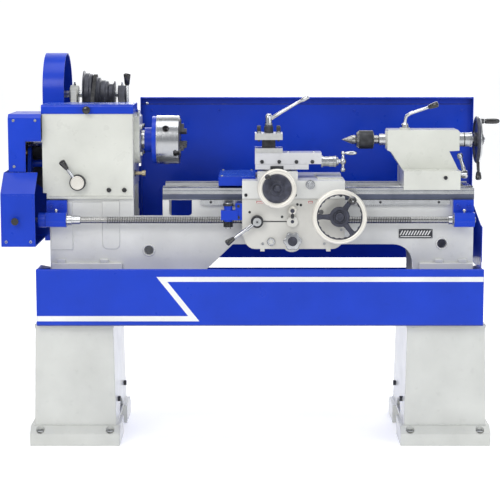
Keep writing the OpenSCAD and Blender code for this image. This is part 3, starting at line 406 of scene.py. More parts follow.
class Shape:
    """One piece made of rounded solids. Its origin is `at`, so that ring textures centre on it."""

    def __init__(self, name, body, at=(0, 0, 0)):
        self.name, self.body, self.at = name, body, Vector(at)
        self.mesh = bmesh.new()
        self.materials = []

    def slot(self, material):
        if material not in self.materials:
            self.materials.append(material)
        return self.materials.index(material)

    def skin(self, rings, material, closed=False, capped=True):
        """Joins rings of points with quads and closes the ends. A ring of one point is a tip."""
        index = self.slot(material)
        made = [[self.mesh.verts.new((Vector(p) - self.at) * MM) for p in ring] for ring in rings]
        pairs = list(zip(made, made[1:])) + ([(made[-1], made[0])] if closed else [])
        faces = []
        for a, b in pairs:
            n = max(len(a), len(b))
            for i in range(n):
                j = (i + 1) % n
                corners = [a[i % len(a)], a[j % len(a)], b[j % len(b)], b[i % len(b)]]
                corners = list(dict.fromkeys(corners))
                if len(corners) > 2:
                    faces.append(self.mesh.faces.new(corners))
        if capped and not closed:
            faces += [self.mesh.faces.new(r) for r in (made[0][::-1], made[-1]) if len(r) > 2]
        for face in faces:
            face.material_index = index
            face.smooth = True
        bmesh.ops.recalc_face_normals(self.mesh, faces=faces)

    def lathe(self, axis, centre, profile, material, segments=64, closed=False, round_by=0.0):
        """Turns a profile of (along the axis, radius) round an axis through `centre`."""
        if round_by:
            profile = rounded(profile, round_by)
        rings = []
        for along, radius in profile:
            steps = segments if radius > TINY else 1
            rings.append([point_on(axis, along, *polar(centre, radius, a)) for a in around(steps)])
        self.skin(rings, material, closed, capped=not closed)

    def disc(self, axis, centre, start, end, radius, material, segments=64, round_by=0.0):
        """A plain round solid between two places along an axis."""
        profile = [(start, 0), (start, radius), (end, radius), (end, 0)]
        self.lathe(axis, centre, profile, material, segments, round_by=round_by)

    def ring(self, axis, centre, start, end, inner, outer, material, segments=64):
        """A plain round solid with a hole through it."""
        profile = [(start, inner), (start, outer), (end, outer), (end, inner)]
        self.lathe(axis, centre, profile, material, segments, closed=True)

    def prism(self, axis, outline, low, high, material, edge=0.6):
        """An outline pulled along an axis, with small chamfers at both ends."""
        points = [Vector(p) for p in outline]
        area = sum(p.x * q.y - q.x * p.y for p, q in zip(points, points[1:] + points[:1]))
        if area < 0:
            points.reverse()
        inner = []
        for before, p, after in zip(points[-1:] + points[:-1], points, points[1:] + points[:1]):
            a, b = (p - before).normalized(), (after - p).normalized()
            normal = Vector((-a.y - b.y, a.x + b.x))
            if normal.length < TINY:
                normal = Vector((-a.y, a.x))
            normal.normalize()
            inner.append(p + normal * edge / max(0.4, normal.dot(Vector((-a.y, a.x)))))
        edge = min(edge, abs(high - low) * 0.45)
        levels = [(inner, low), (points, low + edge), (points, high - edge), (inner, high)]
        self.skin([[point_on(axis, z, *p) for p in ring] for ring, z in levels], material)

    def block(self, x, y, z, material, edge=0.8, axis="X"):
        """A rectangular solid with chamfered ends along one axis and rounded corners across it."""
        spans = {"X": x, "Y": y, "Z": z}
        (u0, u1), (v0, v1) = [spans[k] for k in PLANES[axis]]
        corner = min(edge, (u1 - u0) / 3, (v1 - v0) / 3)
        outline = [
            (u0 + corner, v0), (u1 - corner, v0), (u1, v0 + corner), (u1, v1 - corner),
            (u1 - corner, v1), (u0 + corner, v1), (u0, v1 - corner), (u0, v0 + corner),
        ]
        self.prism(axis, outline, *spans[axis], material, edge)

    def tube(self, points, radii, material, segments=24):
        """A round bar through points, with its own radius at each and rounded ends."""
        points = [Vector(p) for p in points]
        path, sizes = [], []
        for i, (p, r) in enumerate(zip(points, radii)):
            if i == 0 or i == len(points) - 1:
                other = points[1] if i == 0 else points[-2]
                inward = (other - p).normalized()
                dome = [
                    (r * DOME_DEPTH * (1 - math.cos(a)), max(r * math.sin(a) * DOME_WIDEST, r * DOME_TIP))
                    for a in DOME_ANGLES
                ]
                stretch = [(p + inward * d, s) for d, s in dome]
                stretch = stretch if i == 0 else stretch[::-1]
            else:
                stretch = [(p, r)]
            path += [q for q, _ in stretch]
            sizes += [s for _, s in stretch]
        rings, side = [], None
        for i, (p, r) in enumerate(zip(path, sizes)):
            ahead = path[min(i + 1, len(path) - 1)] - path[max(i - 1, 0)]
            ahead.normalize()
            if side is None:
                side = ahead.orthogonal().normalized()
            side = (side - ahead * side.dot(ahead)).normalized()
            up = ahead.cross(side)
            rings.append([p + (side * math.cos(a) + up * math.sin(a)) * r for a in around(segments)])
        self.skin(rings, material)

    def toothed(self, axis, centre, low, high, root, tip, count, material, share=0.5, start=0.0):
        """A ring of teeth, such as a knurl or a pinion."""
        outline = []
        half = math.pi * share / count
        flanks = ((-half * 1.3, root), (-half * 0.6, tip), (half * 0.6, tip), (half * 1.3, root))
        for middle in around(count):
            outline += [polar(centre, radius, start + middle + angle) for angle, radius in flanks]
        self.prism(axis, outline, low, high, material, 0.4)

    def hexagon(self, axis, centre, low, high, radius, material, turn=0.0):
        outline = [polar(centre, radius, turn + math.pi / 3 * k) for k in range(6)]
        self.prism(axis, outline, low, high, material, 0.7)

    def cap_screw(self, axis, centre, seat, out, radius, height, material=None):
        """A socket head screw standing on a face at `seat`, pointing `out` (+1 or -1) along the axis."""
        top, floor = seat + out * height, seat + out * height * 0.45
        profile = [
            (seat, 0), (seat, radius), (top - out * 0.5, radius), (top, radius - 0.5),
            (top, radius * 0.56), (floor, radius * 0.5), (floor, 0),
        ]
        self.lathe(axis, centre, profile, material or black_steel, 24)

    def finish(self, replaces=(), crease=32):
        mesh = bpy.data.meshes.new(self.name)
        self.mesh.to_mesh(mesh)
        self.mesh.free()
        for material in self.materials:
            mesh.materials.append(material)
        mesh.set_sharp_from_angle(angle=math.radians(crease))
        obj = bpy.data.objects.new(self.name, mesh)
        obj.location = row(*self.at)
        scene.collection.objects.link(obj)
        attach(obj, self.body)
        if replaces:
            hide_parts(*replaces)
        return obj


def design(vector):
    return Vector((vector.x / MM, vector.y / MM - SHIFT_Y, vector.z / MM))


def dress(node, base, *rules):
    """Gives a CAD node its finish, and other finishes to the faces that a rule picks."""
    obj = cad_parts[node]
    mesh = obj.data
    mesh.materials.clear()
    for material in (base, *[material for material, _ in rules]):
        mesh.materials.append(material)
    for face in mesh.polygons:
        centre, normal = design(face.center), face.normal
        face.material_index = 0
        for index, (_, picks) in enumerate(rules, 1):
            if picks(centre, normal):
                face.material_index = index


def ring_distance(c, centre, axis):
    u, v = PLANES[axis]
    spot = {"X": c.x, "Y": c.y, "Z": c.z}
    return math.hypot(spot[u] - centre[0], spot[v] - centre[1])


# ---------------------------------------------------------------- finishes of the CAD nodes


def dress_cover(node, knob_front, knob_seat):
    """Blue sheet, with the black head and the bright stem of its knob."""
    dress(
        node,
        blue,
        (grip_black, lambda c, n: c.y < knob_front),
        (bright, lambda c, n: knob_front < c.y < knob_seat),
    )


def dress_stand_and_bed():
    dress("legs", leg_ivory)
    dress("chip_tray", blue_sheet)
    # The faces at the left end of the splash guard that face along X get the darker blue as painted shade.
    dress("splash_guard", blue_sheet, (deep_blue, lambda c, n: c.x < -386 and abs(n.x) > 0.5))
    dress(
        "bed",
        bed_paint,
        (ground_x, lambda c, n: c.z > 826.5),
        (slate, lambda c, n: c.y < -114 and c.z > 789),
        (ground_x, lambda c, n: c.z < 792 and c.z > 788 and abs(n.z) > 0.9 and c.y < -111),
    )
    dress("rack", ground_x)
    dress("fasteners", black_steel)


def dress_headstock():
    dress("headstock", ivory, (ground_x, lambda c, n: ring_distance(c, (62, 903.7), "X") < 10.5))
    dress("bearing_cap", ivory, (bronze, lambda c, n: ring_distance(c, SPINDLE_LINE, "X") < 37.9))
    dress_cover("headstock_lid", -136.9, -127.1)
    dress("plunger", brushed("plunger_brass", (0.50, 0.43, 0.30), (60, 400, 400), rough=0.3))
    dress("shift_fork", bronze)
    dress("back_gears", gear_steel)
    dress(
        "spindle",
        turned_spindle,
        (gear_steel, lambda c, n: ring_distance(c, SPINDLE_LINE, "X") > 31.5),
    )
    dress("cone_pulley", dark_iron, (gear_steel, lambda c, n: c.x < -588))
    dress("chuck_backplate", blue)

    # The walls and floors of the jaw slots get the dark jaw steel: painted shade inside the slots.
    def slot_faces_painted_shade(c, n):
        return ring_distance(c, SPINDLE_LINE, "X") < 79.5 and abs(n.x) < 0.9 and c.x > -315

    dress("chuck_body", turned_chuck, (jaw_steel, slot_faces_painted_shade))
    for jaw in ("jaw_1", "jaw_2", "jaw_3"):
        dress(jaw, jaw_steel)


def dress_gear_end_and_drive():
    for node in ("belt_guard", "gear_bracket", "screw_brackets"):
        dress(node, blue)
    # Faces of the upper cover that look at this point are its inner walls; they get the dark iron finish as
    # painted shade inside the cover.
    inside = Vector((-735, -40, 930))
    dress("gear_cover_upper", blue, (dark_iron, lambda c, n: c.z > 850 and (inside - c).dot(n) > 0))
    dress_cover("gear_cover_lower", -239.9, -230.1)
    dress("tumbler_gear", bronze)
    dress("stud_gear", black_steel)
    dress("change_gear", gear_steel)
    screw_bar = turned("lead_screw_bar", (0.36, 0.36, 0.355), "X", texture_centre(SCREW_LINE))
    dress("lead_screw", screw_bar)
    dress("countershaft_bracket", ivory, (dark_iron, lambda c, n: c.x > -470))
    counter_bar = turned("countershaft_bar", STEEL, "X", texture_centre(COUNTER_LINE))
    dress("countershaft", dark_iron, (counter_bar, lambda c, n: ring_distance(c, COUNTER_LINE, "X") < 12.5))
    dress("motor", dark_iron)
    dress("motor_pulley", dark_iron)
    dress("drive_belts", belt_rubber)


def dress_carriage():
    dress("saddle", bed_paint)
    dress("apron", apron_paint)
    dress("way_guard", blue)
    dress("rack_pinion", gear_steel)
    dress("half_nut_upper", bronze)
    dress("half_nut_lower", bronze)
    dress("cross_slide", bed_paint, (ground_y, lambda c, n: c.z < 879.5 and abs(n.x) > 0.6))
    dress("compound_base", slide_paint)
    dress("top_slide", slide_paint, (turned_x, lambda c, n: c.x > 220.2))
    dress(
        "tool_post",
        post_plate,
        (black_steel, lambda c, n: c.z > 1004),
        # The vertical walls inside the tool slots get black steel: painted shade inside the openings.
        (black_steel, lambda c, n: 956 < c.z < 981 and abs(n.z) < 0.5),
    )


def dress_tailstock():
    dress("tailstock_base", ivory)
    dress(
        "tailstock_body",
        ivory,
        (turned_x, lambda c, n: c.x > 669 and ring_distance(c, SPINDLE_LINE, "X") < 31),
    )
    dress("quill", turned("quill_bar", (0.62, 0.62, 0.63), "X", axis_x))
    dress(
        "live_centre",
        turned("centre_steel", (0.40, 0.395, 0.385), "X", axis_x, rough=0.18),
        (black_steel, lambda c, n: 345.5 < c.x < 393 and ring_distance(c, SPINDLE_LINE, "X") > 25),
    )


# ---------------------------------------------------------------- stand and bed pieces


def tray_stripe():
    """The white line on the front of the tray: low on the left, a slant back, high to the right."""
    s = Shape("tray_stripe", "base")
    outline = [
        (-696, 410), (-175, 410), (-277, 538), (734, 538),
        (734, 554), (-312, 554), (-211, 427), (-696, 427),
    ]
    s.prism("Y", outline, -235.5, -234.6, white_stripe, 0.15)
    s.finish()


def tray_trim():
    s = Shape("tray_trim", "base")
    s.tube([(-696, -231, 574.5), (734, -231, 574.5)], [4.3, 4.3], blue_sheet)
    s.block((-696, 734), (-235.4, -228), (395, 398.5), deep_blue, 0.5)
    s.finish()


def guard_trim():
    """Folded lip, dark gap line, rivets, bright button and lower right skirt of the splash guard."""
    s = Shape("guard_trim", "base")
    s.tube([(-388, 209.5, 1105.5), (751, 209.5, 1105.5)], [2.4, 2.4], blue_sheet)
    s.block((-386.5, 750), (234.2, 236.2), (1082, 1085), deep_blue, 0.6)
    for x in (-352, -120, 112, 344, 576, 716):
        profile = [(236, 0.0), (236, 4.5), (234.4, 4.0), (233.2, 2.0), (232.8, 0.0)]
        s.lathe("Y", (x, 1062), profile, blue_sheet, 20)
    s.lathe("Y", (-368, 1086), [(236, 0), (236, 5), (233, 5), (232, 3), (232, 0)], bright, 20)
    skirt = [(-64, 548), (208, 548), (208, 760), (-64, 690)]
    s.prism("X", skirt, 749.4, 750.7, blue_sheet, 0.2)
    s.finish()


def leg_relief():
    """Raised ledge under the tray, weld bead over the plinth and anchor washers."""
    s = Shape("leg_relief", "base")
    for middle in (-580, 620):
        s.block((middle - 128, middle + 128), (-209, 209), (383, 394.6), leg_ivory, 1.2, "Z")
        s.block((middle - 134.5, middle + 134.5), (-208.5, 208.5), (60, 65), leg_ivory, 1.6, "Z")
        for side in (-1, 1):
            for front in (-1, 1):
                at = (middle + side * 113, front * 221)
                washer = [(46, 7.6), (46, 12), (48.5, 12), (48.5, 7.6)]
                s.lathe("Z", at, washer, dull_chrome, 28, closed=True)
    s.finish()


def bed_relief():
    """Raised panels, foot flanges with lugs, ground strip and hole rims on the front of the bed."""
    s = Shape("bed_relief", "base")
    front = -112
    s.block((-662, -590), (front - 3, front), (624, 785), bed_paint, 1.6, "Y")
    left, right, bottom, top, corner = -494, -437, 627, 785, 16
    panel = [(right, top), (left, top)]
    for middle, first in ((left + corner, 180), (right - corner, 270)):
        for k in range(7):
            a = math.radians(first + 15 * k)
            panel.append((middle + corner * math.cos(a), bottom + corner + corner * math.sin(a)))
    s.prism("Y", panel, front - 3, front, bed_paint, 1.4)
    s.block((-588, -496), (front - 1.4, front), (779, 783), bed_paint, 0.6, "Y")
    for x0, x1, lugs in ((-662, -430, (-629, -489)), (538, 714, (603, 680))):
        s.block((x0, x1), (front - 13, front), (503.4, 583), bed_paint, 3.0, "X")
        for x in lugs:
            s.block((x - 14, x + 14), (front - 11, front), (580, 596), bed_paint, 3.4, "Y")
    s.block((-296, 714), (-117, -116), (807.5, 827.5), ground_x, 0.3, "X")
    s.block((-296, 714), (-117.3, -116.9), (818, 819.4), slate, 0.1, "X")
    for x, z in ((-343, 623), (613, 645)):
        lip = [(front, 15.4), (front, 21), (front - 2.2, 19.5), (front - 2.2, 16.2)]
        s.lathe("Y", (x, z), lip, bed_paint, 48, closed=True)
    s.finish()


def bed_fittings():
    """Hatching, a plain line and rivets on the plate of the bed front."""
    s = Shape("bed_fittings", "base")
    low, high, step = 474.0, 574.0, 9.0
    count = int((high - low) / step)
    for i in range(count):
        x = low + i * step
        bar = [(x, 673), (x + 4.4, 673), (x + 12.4, 688), (x + 8, 688)]
        s.prism("Y", bar, -114.35, -113.9, label_white, 0.1)
    s.block((478, 576), (-114.3, -113.9), (667, 669.5), label_white, 0.1, "Y")
    for x in (475.5, 578.5):
        for z in (666, 690):
            s.lathe("Y", (x, z), [(-114, 0), (-114, 1.8), (-114.8, 1.2), (-115, 0)], bright, 14)
    s.finish()


def lead_screw_thread():
    """The thread of the lead screw, one low ridge that clears the closed half nuts, and its collars. The
    ridge is darker than the bar, partly because the real thread is darker and partly as painted shade for
    the relief of deeper flanks.
    """
    s = Shape("lead_screw_thread", "lead_screw", (0, -150, 727))
    ridge = ((-1.7, 10.3), (-1.1, 10.85), (1.1, 10.85), (1.7, 10.3))
    pitch, start, end = 5.5, -476.0, 512.0
    steps = 20
    turns = int((end - start) / pitch)
    rings = []
    for i in range(turns * steps + 1):
        a = 2 * math.pi * i / steps
        x = start + pitch * i / steps
        rings.append([(x + dx, *polar(SCREW_LINE, r, a)) for dx, r in ridge])
    # Dark ridge on the brighter bar: partly the darker real thread, partly painted shade standing in for the
    # thread's relief.
    s.skin(rings, turned("thread_steel_painted_shade", (0.10, 0.10, 0.105), "X", rough=0.4, pitch=400.0))
    collar = [(-604, 10.6), (-604, 17.4), (-589, 17.4), (-589, 14.4), (-561, 14.4), (-561, 10.6)]
    s.lathe("X", SCREW_LINE, collar, bright, 64, closed=True)
    s.ring("X", SCREW_LINE, 628, 640, 10.6, 15, bright, 48)
    s.finish(crease=40)


def screw_bracket_fittings():
    s = Shape("screw_bracket_fittings", "base")
    for x in (-656, -622, 660, 698):
        s.cap_screw("Y", (x, 772), -136, -1, 6.5, 5.5, blue)
    for x in (-639, 679):
        cup = [(752, 0), (752, 4), (757, 4), (757, 6), (761, 6), (763, 4), (763, 0)]
        s.lathe("Z", (x, -152), cup, bright, 28)
    s.ring("X", SCREW_LINE, -696, -673, 12.5, 24, blue, 48)
    for x, out in ((-606, 1), (646, -1)):
        profile = [(x, 11.5), (x, 19), (x + out * 1.6, 18), (x + out * 1.6, 11.5)]
        s.lathe("X", SCREW_LINE, profile, dull_chrome, 48, closed=True)
    s.finish()


# ---------------------------------------------------------------- headstock and drive pieces


def headstock_fittings():
    """Plugs, oil cup, bearing cap screws, two rings and the seam bead of the headstock."""
    s = Shape("headstock_fittings", "base")
    for x in (-470, -420):
        profile = [(-125, 0), (-125, 7.5), (-129.5, 7.5), (-131, 6), (-131, 3), (-129, 2.6), (-129, 0)]
        s.lathe("Y", (x, 822), profile, grip_black, 32)
    cup = [
        (1055, 0), (1055, 4.2), (1063, 4.2), (1063, 6.6), (1073, 6.6), (1076, 5.2), (1078, 2.2),
        (1078, 0),
    ]
    s.lathe("Z", (-381, -4), cup, bright, 36)
    for k in range(4):
        a = math.radians(45 + 90 * k)
        s.cap_screw("X", polar(SPINDLE_LINE, 62, a), -366.1, 1, 5.2, 3)
    profile = [(-373, 38.5), (-373, 52), (-370, 50), (-370, 38.5)]
    s.lathe("X", SPINDLE_LINE, profile, dull_chrome, 72, closed=True)
    profile = [(-391, 6.4), (-391, 11.5), (-388, 11), (-388, 6.4)]
    s.lathe("X", (-60, 871), profile, black_steel, 36, closed=True)
    s.block((-664, -397), (-126.8, -125), (800, 803), ivory, 0.7, "X")
    s.finish()


def lid_fittings():
    s = Shape("lid_fittings", "headstock_lid")
    # The lid's top face is a lighter, glossier blue than the rest of the lid: painted highlight where light
    # falls on the top.
    lid_highlight = paint("lid_top_painted_highlight", (0.03, 0.10, 0.62), rough=0.22)
    s.block((-681, -394), (-122, 15), (1097, 1098.6), lid_highlight, 0.8, "Z")
    knob = [
        (-127, 0), (-127, 8.5), (-129.5, 8.5), (-130, 5), (-137, 5), (-138, 11), (-141, 12.6),
        (-147, 12.6), (-149.4, 9), (-149.8, 0),
    ]
    s.lathe("Y", (-538, 1081), knob, grip_black, 40)
    for x in (-658, -418):
        s.tube([(x - 19, 65, 1074), (x + 19, 65, 1074)], [3.5, 3.5], dull_chrome)
    s.finish()


def gear_lever_piece():
    s = Shape("gear_selector", "gear_lever", (-570, -150, 847))
    hub = (-570, 847)
    disc = [
        (-125.6, 0), (-125.6, 26), (-144, 26), (-148.5, 25.2), (-148.5, 23), (-146.5, 22.6),
        (-146.5, 0),
    ]
    s.lathe("Y", hub, disc, black_steel, 72, round_by=1.2)
    face = [(-146.4, 0), (-146.4, 22.4), (-149.3, 21.6), (-150, 19), (-150, 0)]
    s.lathe("Y", hub, face, cream, 72)
    s.tube([(-576, -140, 856), (-588, -145, 873), (-603, -151, 894)], [6.2, 5.6, 5.0], bright)
    path = [(-600, -150, 890), (-604, -151.3, 896), (-614, -154, 910), (-621, -156, 919.5)]
    s.tube(path, [6.2, 7.6, 10.6, 11], grip_black)
    profile = [(-125.7, 0), (-125.7, 7.4), (-100, 7.4), (-100, 8.4), (-92, 8.4), (-92, 0)]
    s.lathe("Y", hub, profile, dull_chrome, 40)
    turn = math.radians(68.5)
    across, up = Vector((-math.sin(turn), math.cos(turn))), Vector((math.cos(turn), math.sin(turn)))
    middle = Vector(hub)
    half, end = across * 5.9, middle + up * 34
    arm = [middle + half, middle - half, end - half, end + half]
    s.prism("Y", arm, -100, -92, dull_chrome)
    s.disc("Y", (hub[0] + 11, hub[1] + 27.9), -92, -72, 4.9, dull_chrome, 24)
    s.finish(["gear_lever"])


def gear_train_nuts():
    """Hexagon nuts and washers on the studs that carry the gear train."""
    s = Shape("gear_train_nuts", "base")
    for y, z in ((-53.17, 939.61), (-69.6, 876.72), (-104.6, 816.1)):
        s.ring("X", (y, z), -771, -768, 6, 11.5, dull_chrome, 32)
        s.hexagon("X", (y, z), -779, -770.6, 10, black_steel)
    s.disc("X", (-20, 900), -745, -738, 12, dull_chrome, 32)
    s.finish()


def cover_fittings():
    for name, body, spots, level in (
        ("upper_cover_screws", "base", [(-772, 1048), (-772, 900), (-702, 1048)], -150),
        ("lower_cover_screws", "gear_cover_lower", [(-790, 666), (-712, 666)], -230),
    ):
        s = Shape(name, body)
        for x, z in spots:
            s.cap_screw("Y", (x, z), level, -1, 4.6, 2.6, dull_chrome)
        if body != "base":
            knob = [
                (-230, 0), (-230, 8), (-232, 8), (-233, 4.5), (-240, 4.5), (-241, 10),
                (-244, 11.8), (-249, 11.8), (-251.6, 8), (-252, 0),
            ]
            s.lathe("Y", (-759, 733), knob, grip_black, 40)
            s.prism("Y", [(-800, 655), (-703, 655), (-703, 814), (-800, 814)], -231.2, -230, blue_sheet, 0.5)
        s.finish()


def window_trim():
    """Folded edge round the opening of the upper gear cover."""
    s = Shape("window_trim", "base")
    s.block((-737.5, -734.5), (-152, -147), (883, 983), blue_sheet, 0.8, "Z")
    s.block((-737.5, -686), (-152, -147), (981, 984), blue_sheet, 0.8, "X")
    s.finish()


def chuck_details():
    s = Shape("chuck_details", "spindle", (0, 0, SPINDLE_Z))
    line = SPINDLE_LINE
    s.ring("X", line, -320, -316, 77.2, 80, dull_chrome, 96)
    for k in range(3):
        a = math.radians(90 + 60 + 120 * k)
        at = Vector((0, 79.6 * math.cos(a), SPINDLE_Z + 79.6 * math.sin(a)))
        out = Vector((0, math.cos(a), math.sin(a)))
        centre = Vector((-288, at.y, at.z))
        side = Vector((1, 0, 0))
        up = out.cross(side)
        rings = []
        for r, lift in ((12.5, -1.5), (12.5, 0.5), (10.4, 0.9), (10.2, -3)):
            rings.append([
                centre + (side * math.cos(t) + up * math.sin(t)) * r + out * lift for t in around(36)
            ])
        s.skin(rings, jaw_steel, closed=True)
    for k in range(3):
        a = math.radians(30 + 120 * k)
        s.cap_screw("X", polar(SPINDLE_LINE, 52, a), -244, 1, 6.2, 1.6)
    for r in (30, 66):
        profile = [(-244.1, r), (-243.6, r), (-243.6, r + 1.2), (-244.1, r + 1.2)]
        s.lathe("X", line, profile, jaw_steel, 96, closed=True)
    s.finish()


def drive_details():
    """Cooling fins and end grill of the motor, bearing rings and nipples of the countershaft."""
    s = Shape("drive_details", "base")
    for a in around(30):
        y, z = polar(MOTOR_LINE, 76, a)
        s.tube([(-630, y, z), (-460, y, z)], [3.4, 3.4], dark_iron, 8)
    grill = [(-429.6, 0), (-429.6, 20), (-429, 22), (-429, 60), (-432, 66), (-450, 68.4), (-450, 0)]
    s.lathe("X", MOTOR_LINE, grill, plate_black, 64)
    for r in (28, 36, 44, 52):
        profile = [(-429, r), (-427.6, r), (-427.6, r + 3), (-429, r + 3)]
        s.lathe("X", MOTOR_LINE, profile, dull_chrome, 64, closed=True)
    for x, out in ((-629, -1), (-438, 1)):
        profile = [(x, 12.4), (x, 24), (x + out * 3, 22.5), (x + out * 3, 12.4)]
        s.lathe("X", COUNTER_LINE, profile, dull_chrome, 48, closed=True)
    for x in (-615, -452):
        nipple = [(1146, 0), (1146, 4.5), (1152, 4.5), (1152, 2.6), (1158, 3.4), (1160, 0)]
        s.lathe("Z", (x, 230), nipple, bright, 20)
    s.finish()


def belt_guard_edges():
    s = Shape("belt_guard_edges", "base")
    middle, top, radius = 250, 1258 - 132, 130
    x = -642
    arc = [(x, middle - radius, 628), (x, middle - radius, top)]
    for k in range(1, 24):
        a = math.pi * k / 24
        arc.append((x, middle - radius * math.cos(a), top + radius * math.sin(a)))
    arc += [(x, middle + radius, top), (x, middle + radius, 628)]
    s.tube(arc, [1.9] * len(arc), blue_sheet, 10)
    s.finish()


def tension_lever_piece():
    s = Shape("belt_tension_lever", "tension_lever", (-430, 162, 1012))
    profile = [(-450, 0), (-450, 5.9), (-437.4, 5.9), (-437.4, 14.8), (-422, 14.8), (-422, 0)]
    s.lathe("X", (162, 1012), profile, dull_chrome, 40, round_by=1.0)
    s.tube([(-430, 162, 1020), (-430, 162, 1153)], [6.0, 5.4], bright)
    path = [(-430, 162, 1148), (-430, 162, 1154), (-430, 162, 1176), (-430, 162, 1191.5)]
    s.tube(path, [6.4, 8.6, 11.0, 12.4], grip_black)
    s.finish(["tension_lever"])


# ---------------------------------------------------------------- carriage pieces


def apron_wheel():
    """Hand wheel with a polished rim, finger scallops inside it, three dished spokes and a grip."""
    centre, mid = (272.13, 747), -236
    s = Shape("apron_hand_wheel", "carriage_wheel", (centre[0], mid, centre[1]))
    rim = [(mid + 7.8 * math.sin(a), 79 + 8.9 * math.cos(a)) for a in around(20)]
    s.lathe("Y", centre, rim, cream, 120, closed=True)
    lobes, segments = 24, 192
    rings = []
    for depth, inset in ((-241.5, 1.0), (-242.6, 0.0), (-229.4, 0.0), (-230.5, 1.0)):
        ring = []
        for a in around(segments):
            r = 67.2 + inset + 2.6 * abs(math.sin(a * lobes / 2))
            ring.append(point_on("Y", depth, *polar(centre, r, a)))
        rings.append(ring)
    outer = [
        [point_on("Y", depth, *polar(centre, 75, a)) for a in around(segments)]
        for depth in (-230.5, -241.5)
    ]
    s.skin(rings + outer, slate_disc, closed=True)
    # Each spoke is lofted through stations: radius, half width, front and back. Its section is an octagon.
    stations = (
        (24, 11, -243.5, -229), (38, 8.6, -241.5, -230.5), (56, 7.4, -240.5, -231.5),
        (70, 10, -241, -231),
    )
    octagon = ((-1, 0.3), (-0.7, 0), (0.7, 0), (1, 0.3), (1, 0.7), (0.7, 1), (-0.7, 1), (-1, 0.7))
    for degrees in (180, 56, -52):
        a = math.radians(degrees)
        along, side = Vector((math.cos(a), 0, math.sin(a))), Vector((-math.sin(a), 0, math.cos(a)))
        sections = []
        for r, half, y0, y1 in stations:
            ring = []
            for u, v in octagon:
                p = Vector((centre[0], 0, centre[1])) + along * r + side * half * u
                ring.append((p.x, y0 + (y1 - y0) * v, p.z))
            sections.append(ring)
        s.skin(sections, slate_disc)
    hub = [
        (APRON_SEAT, 10.2), (APRON_SEAT, 24), (-226, 24), (-228, 27), (-228, 32), (-242, 32),
        (-244.5, 30), (-244.5, 22), (-242.5, 21), (-242.5, 10.2),
    ]
    s.lathe("Y", centre, hub, slate_disc, 72, closed=True)
    profile = [(-242.4, 15.8), (-242.4, 20), (-245.6, 19.4), (-245.6, 16.4)]
    s.lathe("Y", centre, profile, slate_disc, 64, closed=True)
    cap = [(-242, 0), (-242, 14), (-248.5, 14), (-250, 12.4), (-250, 6.5), (-248.2, 6), (-248.2, 0)]
    s.lathe("Y", centre, cap, slate_disc, 56)
    for k, a in enumerate(around(30)):
        long = 5.2 if k % 5 == 0 else 3.2
        at = Vector((centre[0], 0, centre[1])) + Vector((math.cos(a), 0, math.sin(a))) * 24.15
        s.tube([(at.x, -192, at.z), (at.x, -192 - long, at.z)], [0.35, 0.35], label_white, 6)
    s.disc("Y", centre, -243, -166, 9.9, dull_chrome, 40)
    s.toothed("Y", centre, -176, -166, 9.7, 13.4, 12, gear_steel, 0.42, math.radians(117.01))
    at = polar(centre, 68, math.radians(56))
    profile = [(-232, 0), (-232, 8.5), (-247, 8.5), (-248.5, 6), (-251, 6), (-251, 0)]
    s.lathe("Y", at, profile, dull_chrome, 40, round_by=0.8)
    grip = [
        (-250.5, 0), (-250.5, 9), (-255, 11.6), (-268, 13.4), (-285, 13), (-294, 10.4),
        (-297.6, 5.5), (-298, 0),
    ]
    s.lathe("Y", at, grip, grip_black, 40, round_by=3)
    s.lathe("Y", at, [(-297.9, 0), (-297.9, 2.6), (-298, 2.2), (-298, 0)], bright, 20)
    s.finish(["carriage_wheel"])


def cross_wheel_piece():
    s = Shape("cross_hand_wheel", "cross_wheel", (73, -250, 838))
    centre = (73, 838)
    rim = [(-243 + 8.8 * math.sin(a) * 0.95, 54.2 + 8.8 * math.cos(a)) for a in around(24)]
    s.lathe("Y", centre, rim, cream, 112, closed=True)
    disc = [
        (-248, 20), (-249.5, 23), (-246, 27), (-245, 41), (-247.5, 45.5), (-247.5, 47.5),
        (-238.5, 47.5), (-236, 42), (-236, 20),
    ]
    s.lathe("Y", centre, disc, slate_disc, 96, closed=True)
    hub = [(-226, 5), (-226, 22), (-249, 21.5), (-251, 20), (-251, 13), (-249.4, 12), (-249.4, 5)]
    s.lathe("Y", centre, hub, slate_disc, 64, closed=True)
    nut = [(-249.4, 0), (-249.4, 11.5), (-256, 11.5), (-258, 9), (-262, 6), (-262, 0)]
    s.lathe("Y", centre, nut, slate_disc, 48, round_by=0.8)
    s.ring("Y", centre, -200.4, -226, 5.2, 18, turned_y, 72)
    s.toothed("Y", centre, -226, -219, 17.8, 18.6, 56, dull_chrome)
    for k, a in enumerate(around(50)):
        long = 6 if k % 5 == 0 else 3.4
        at = polar(centre, 18.1, a)
        s.tube([(at[0], -201.2, at[1]), (at[0], -201.2 - long, at[1])], [0.28, 0.28], plate_black, 6)
    s.disc("Y", centre, -250, 60, 4.9, dull_chrome, 32)
    at = (43, 878)
    profile = [(-244, 0), (-244, 7.5), (-253, 7.5), (-254, 5), (-263, 5), (-263, 0)]
    s.lathe("Y", at, profile, dull_chrome, 32, round_by=0.7)
    grip = [(-261.5, 0), (-261.5, 6.6), (-266, 8.4), (-278, 9.5), (-289, 8.8), (-294.5, 6), (-296, 0)]
    s.lathe("Y", at, grip, grip_black, 40, round_by=2.5)
    s.finish(["cross_wheel"])


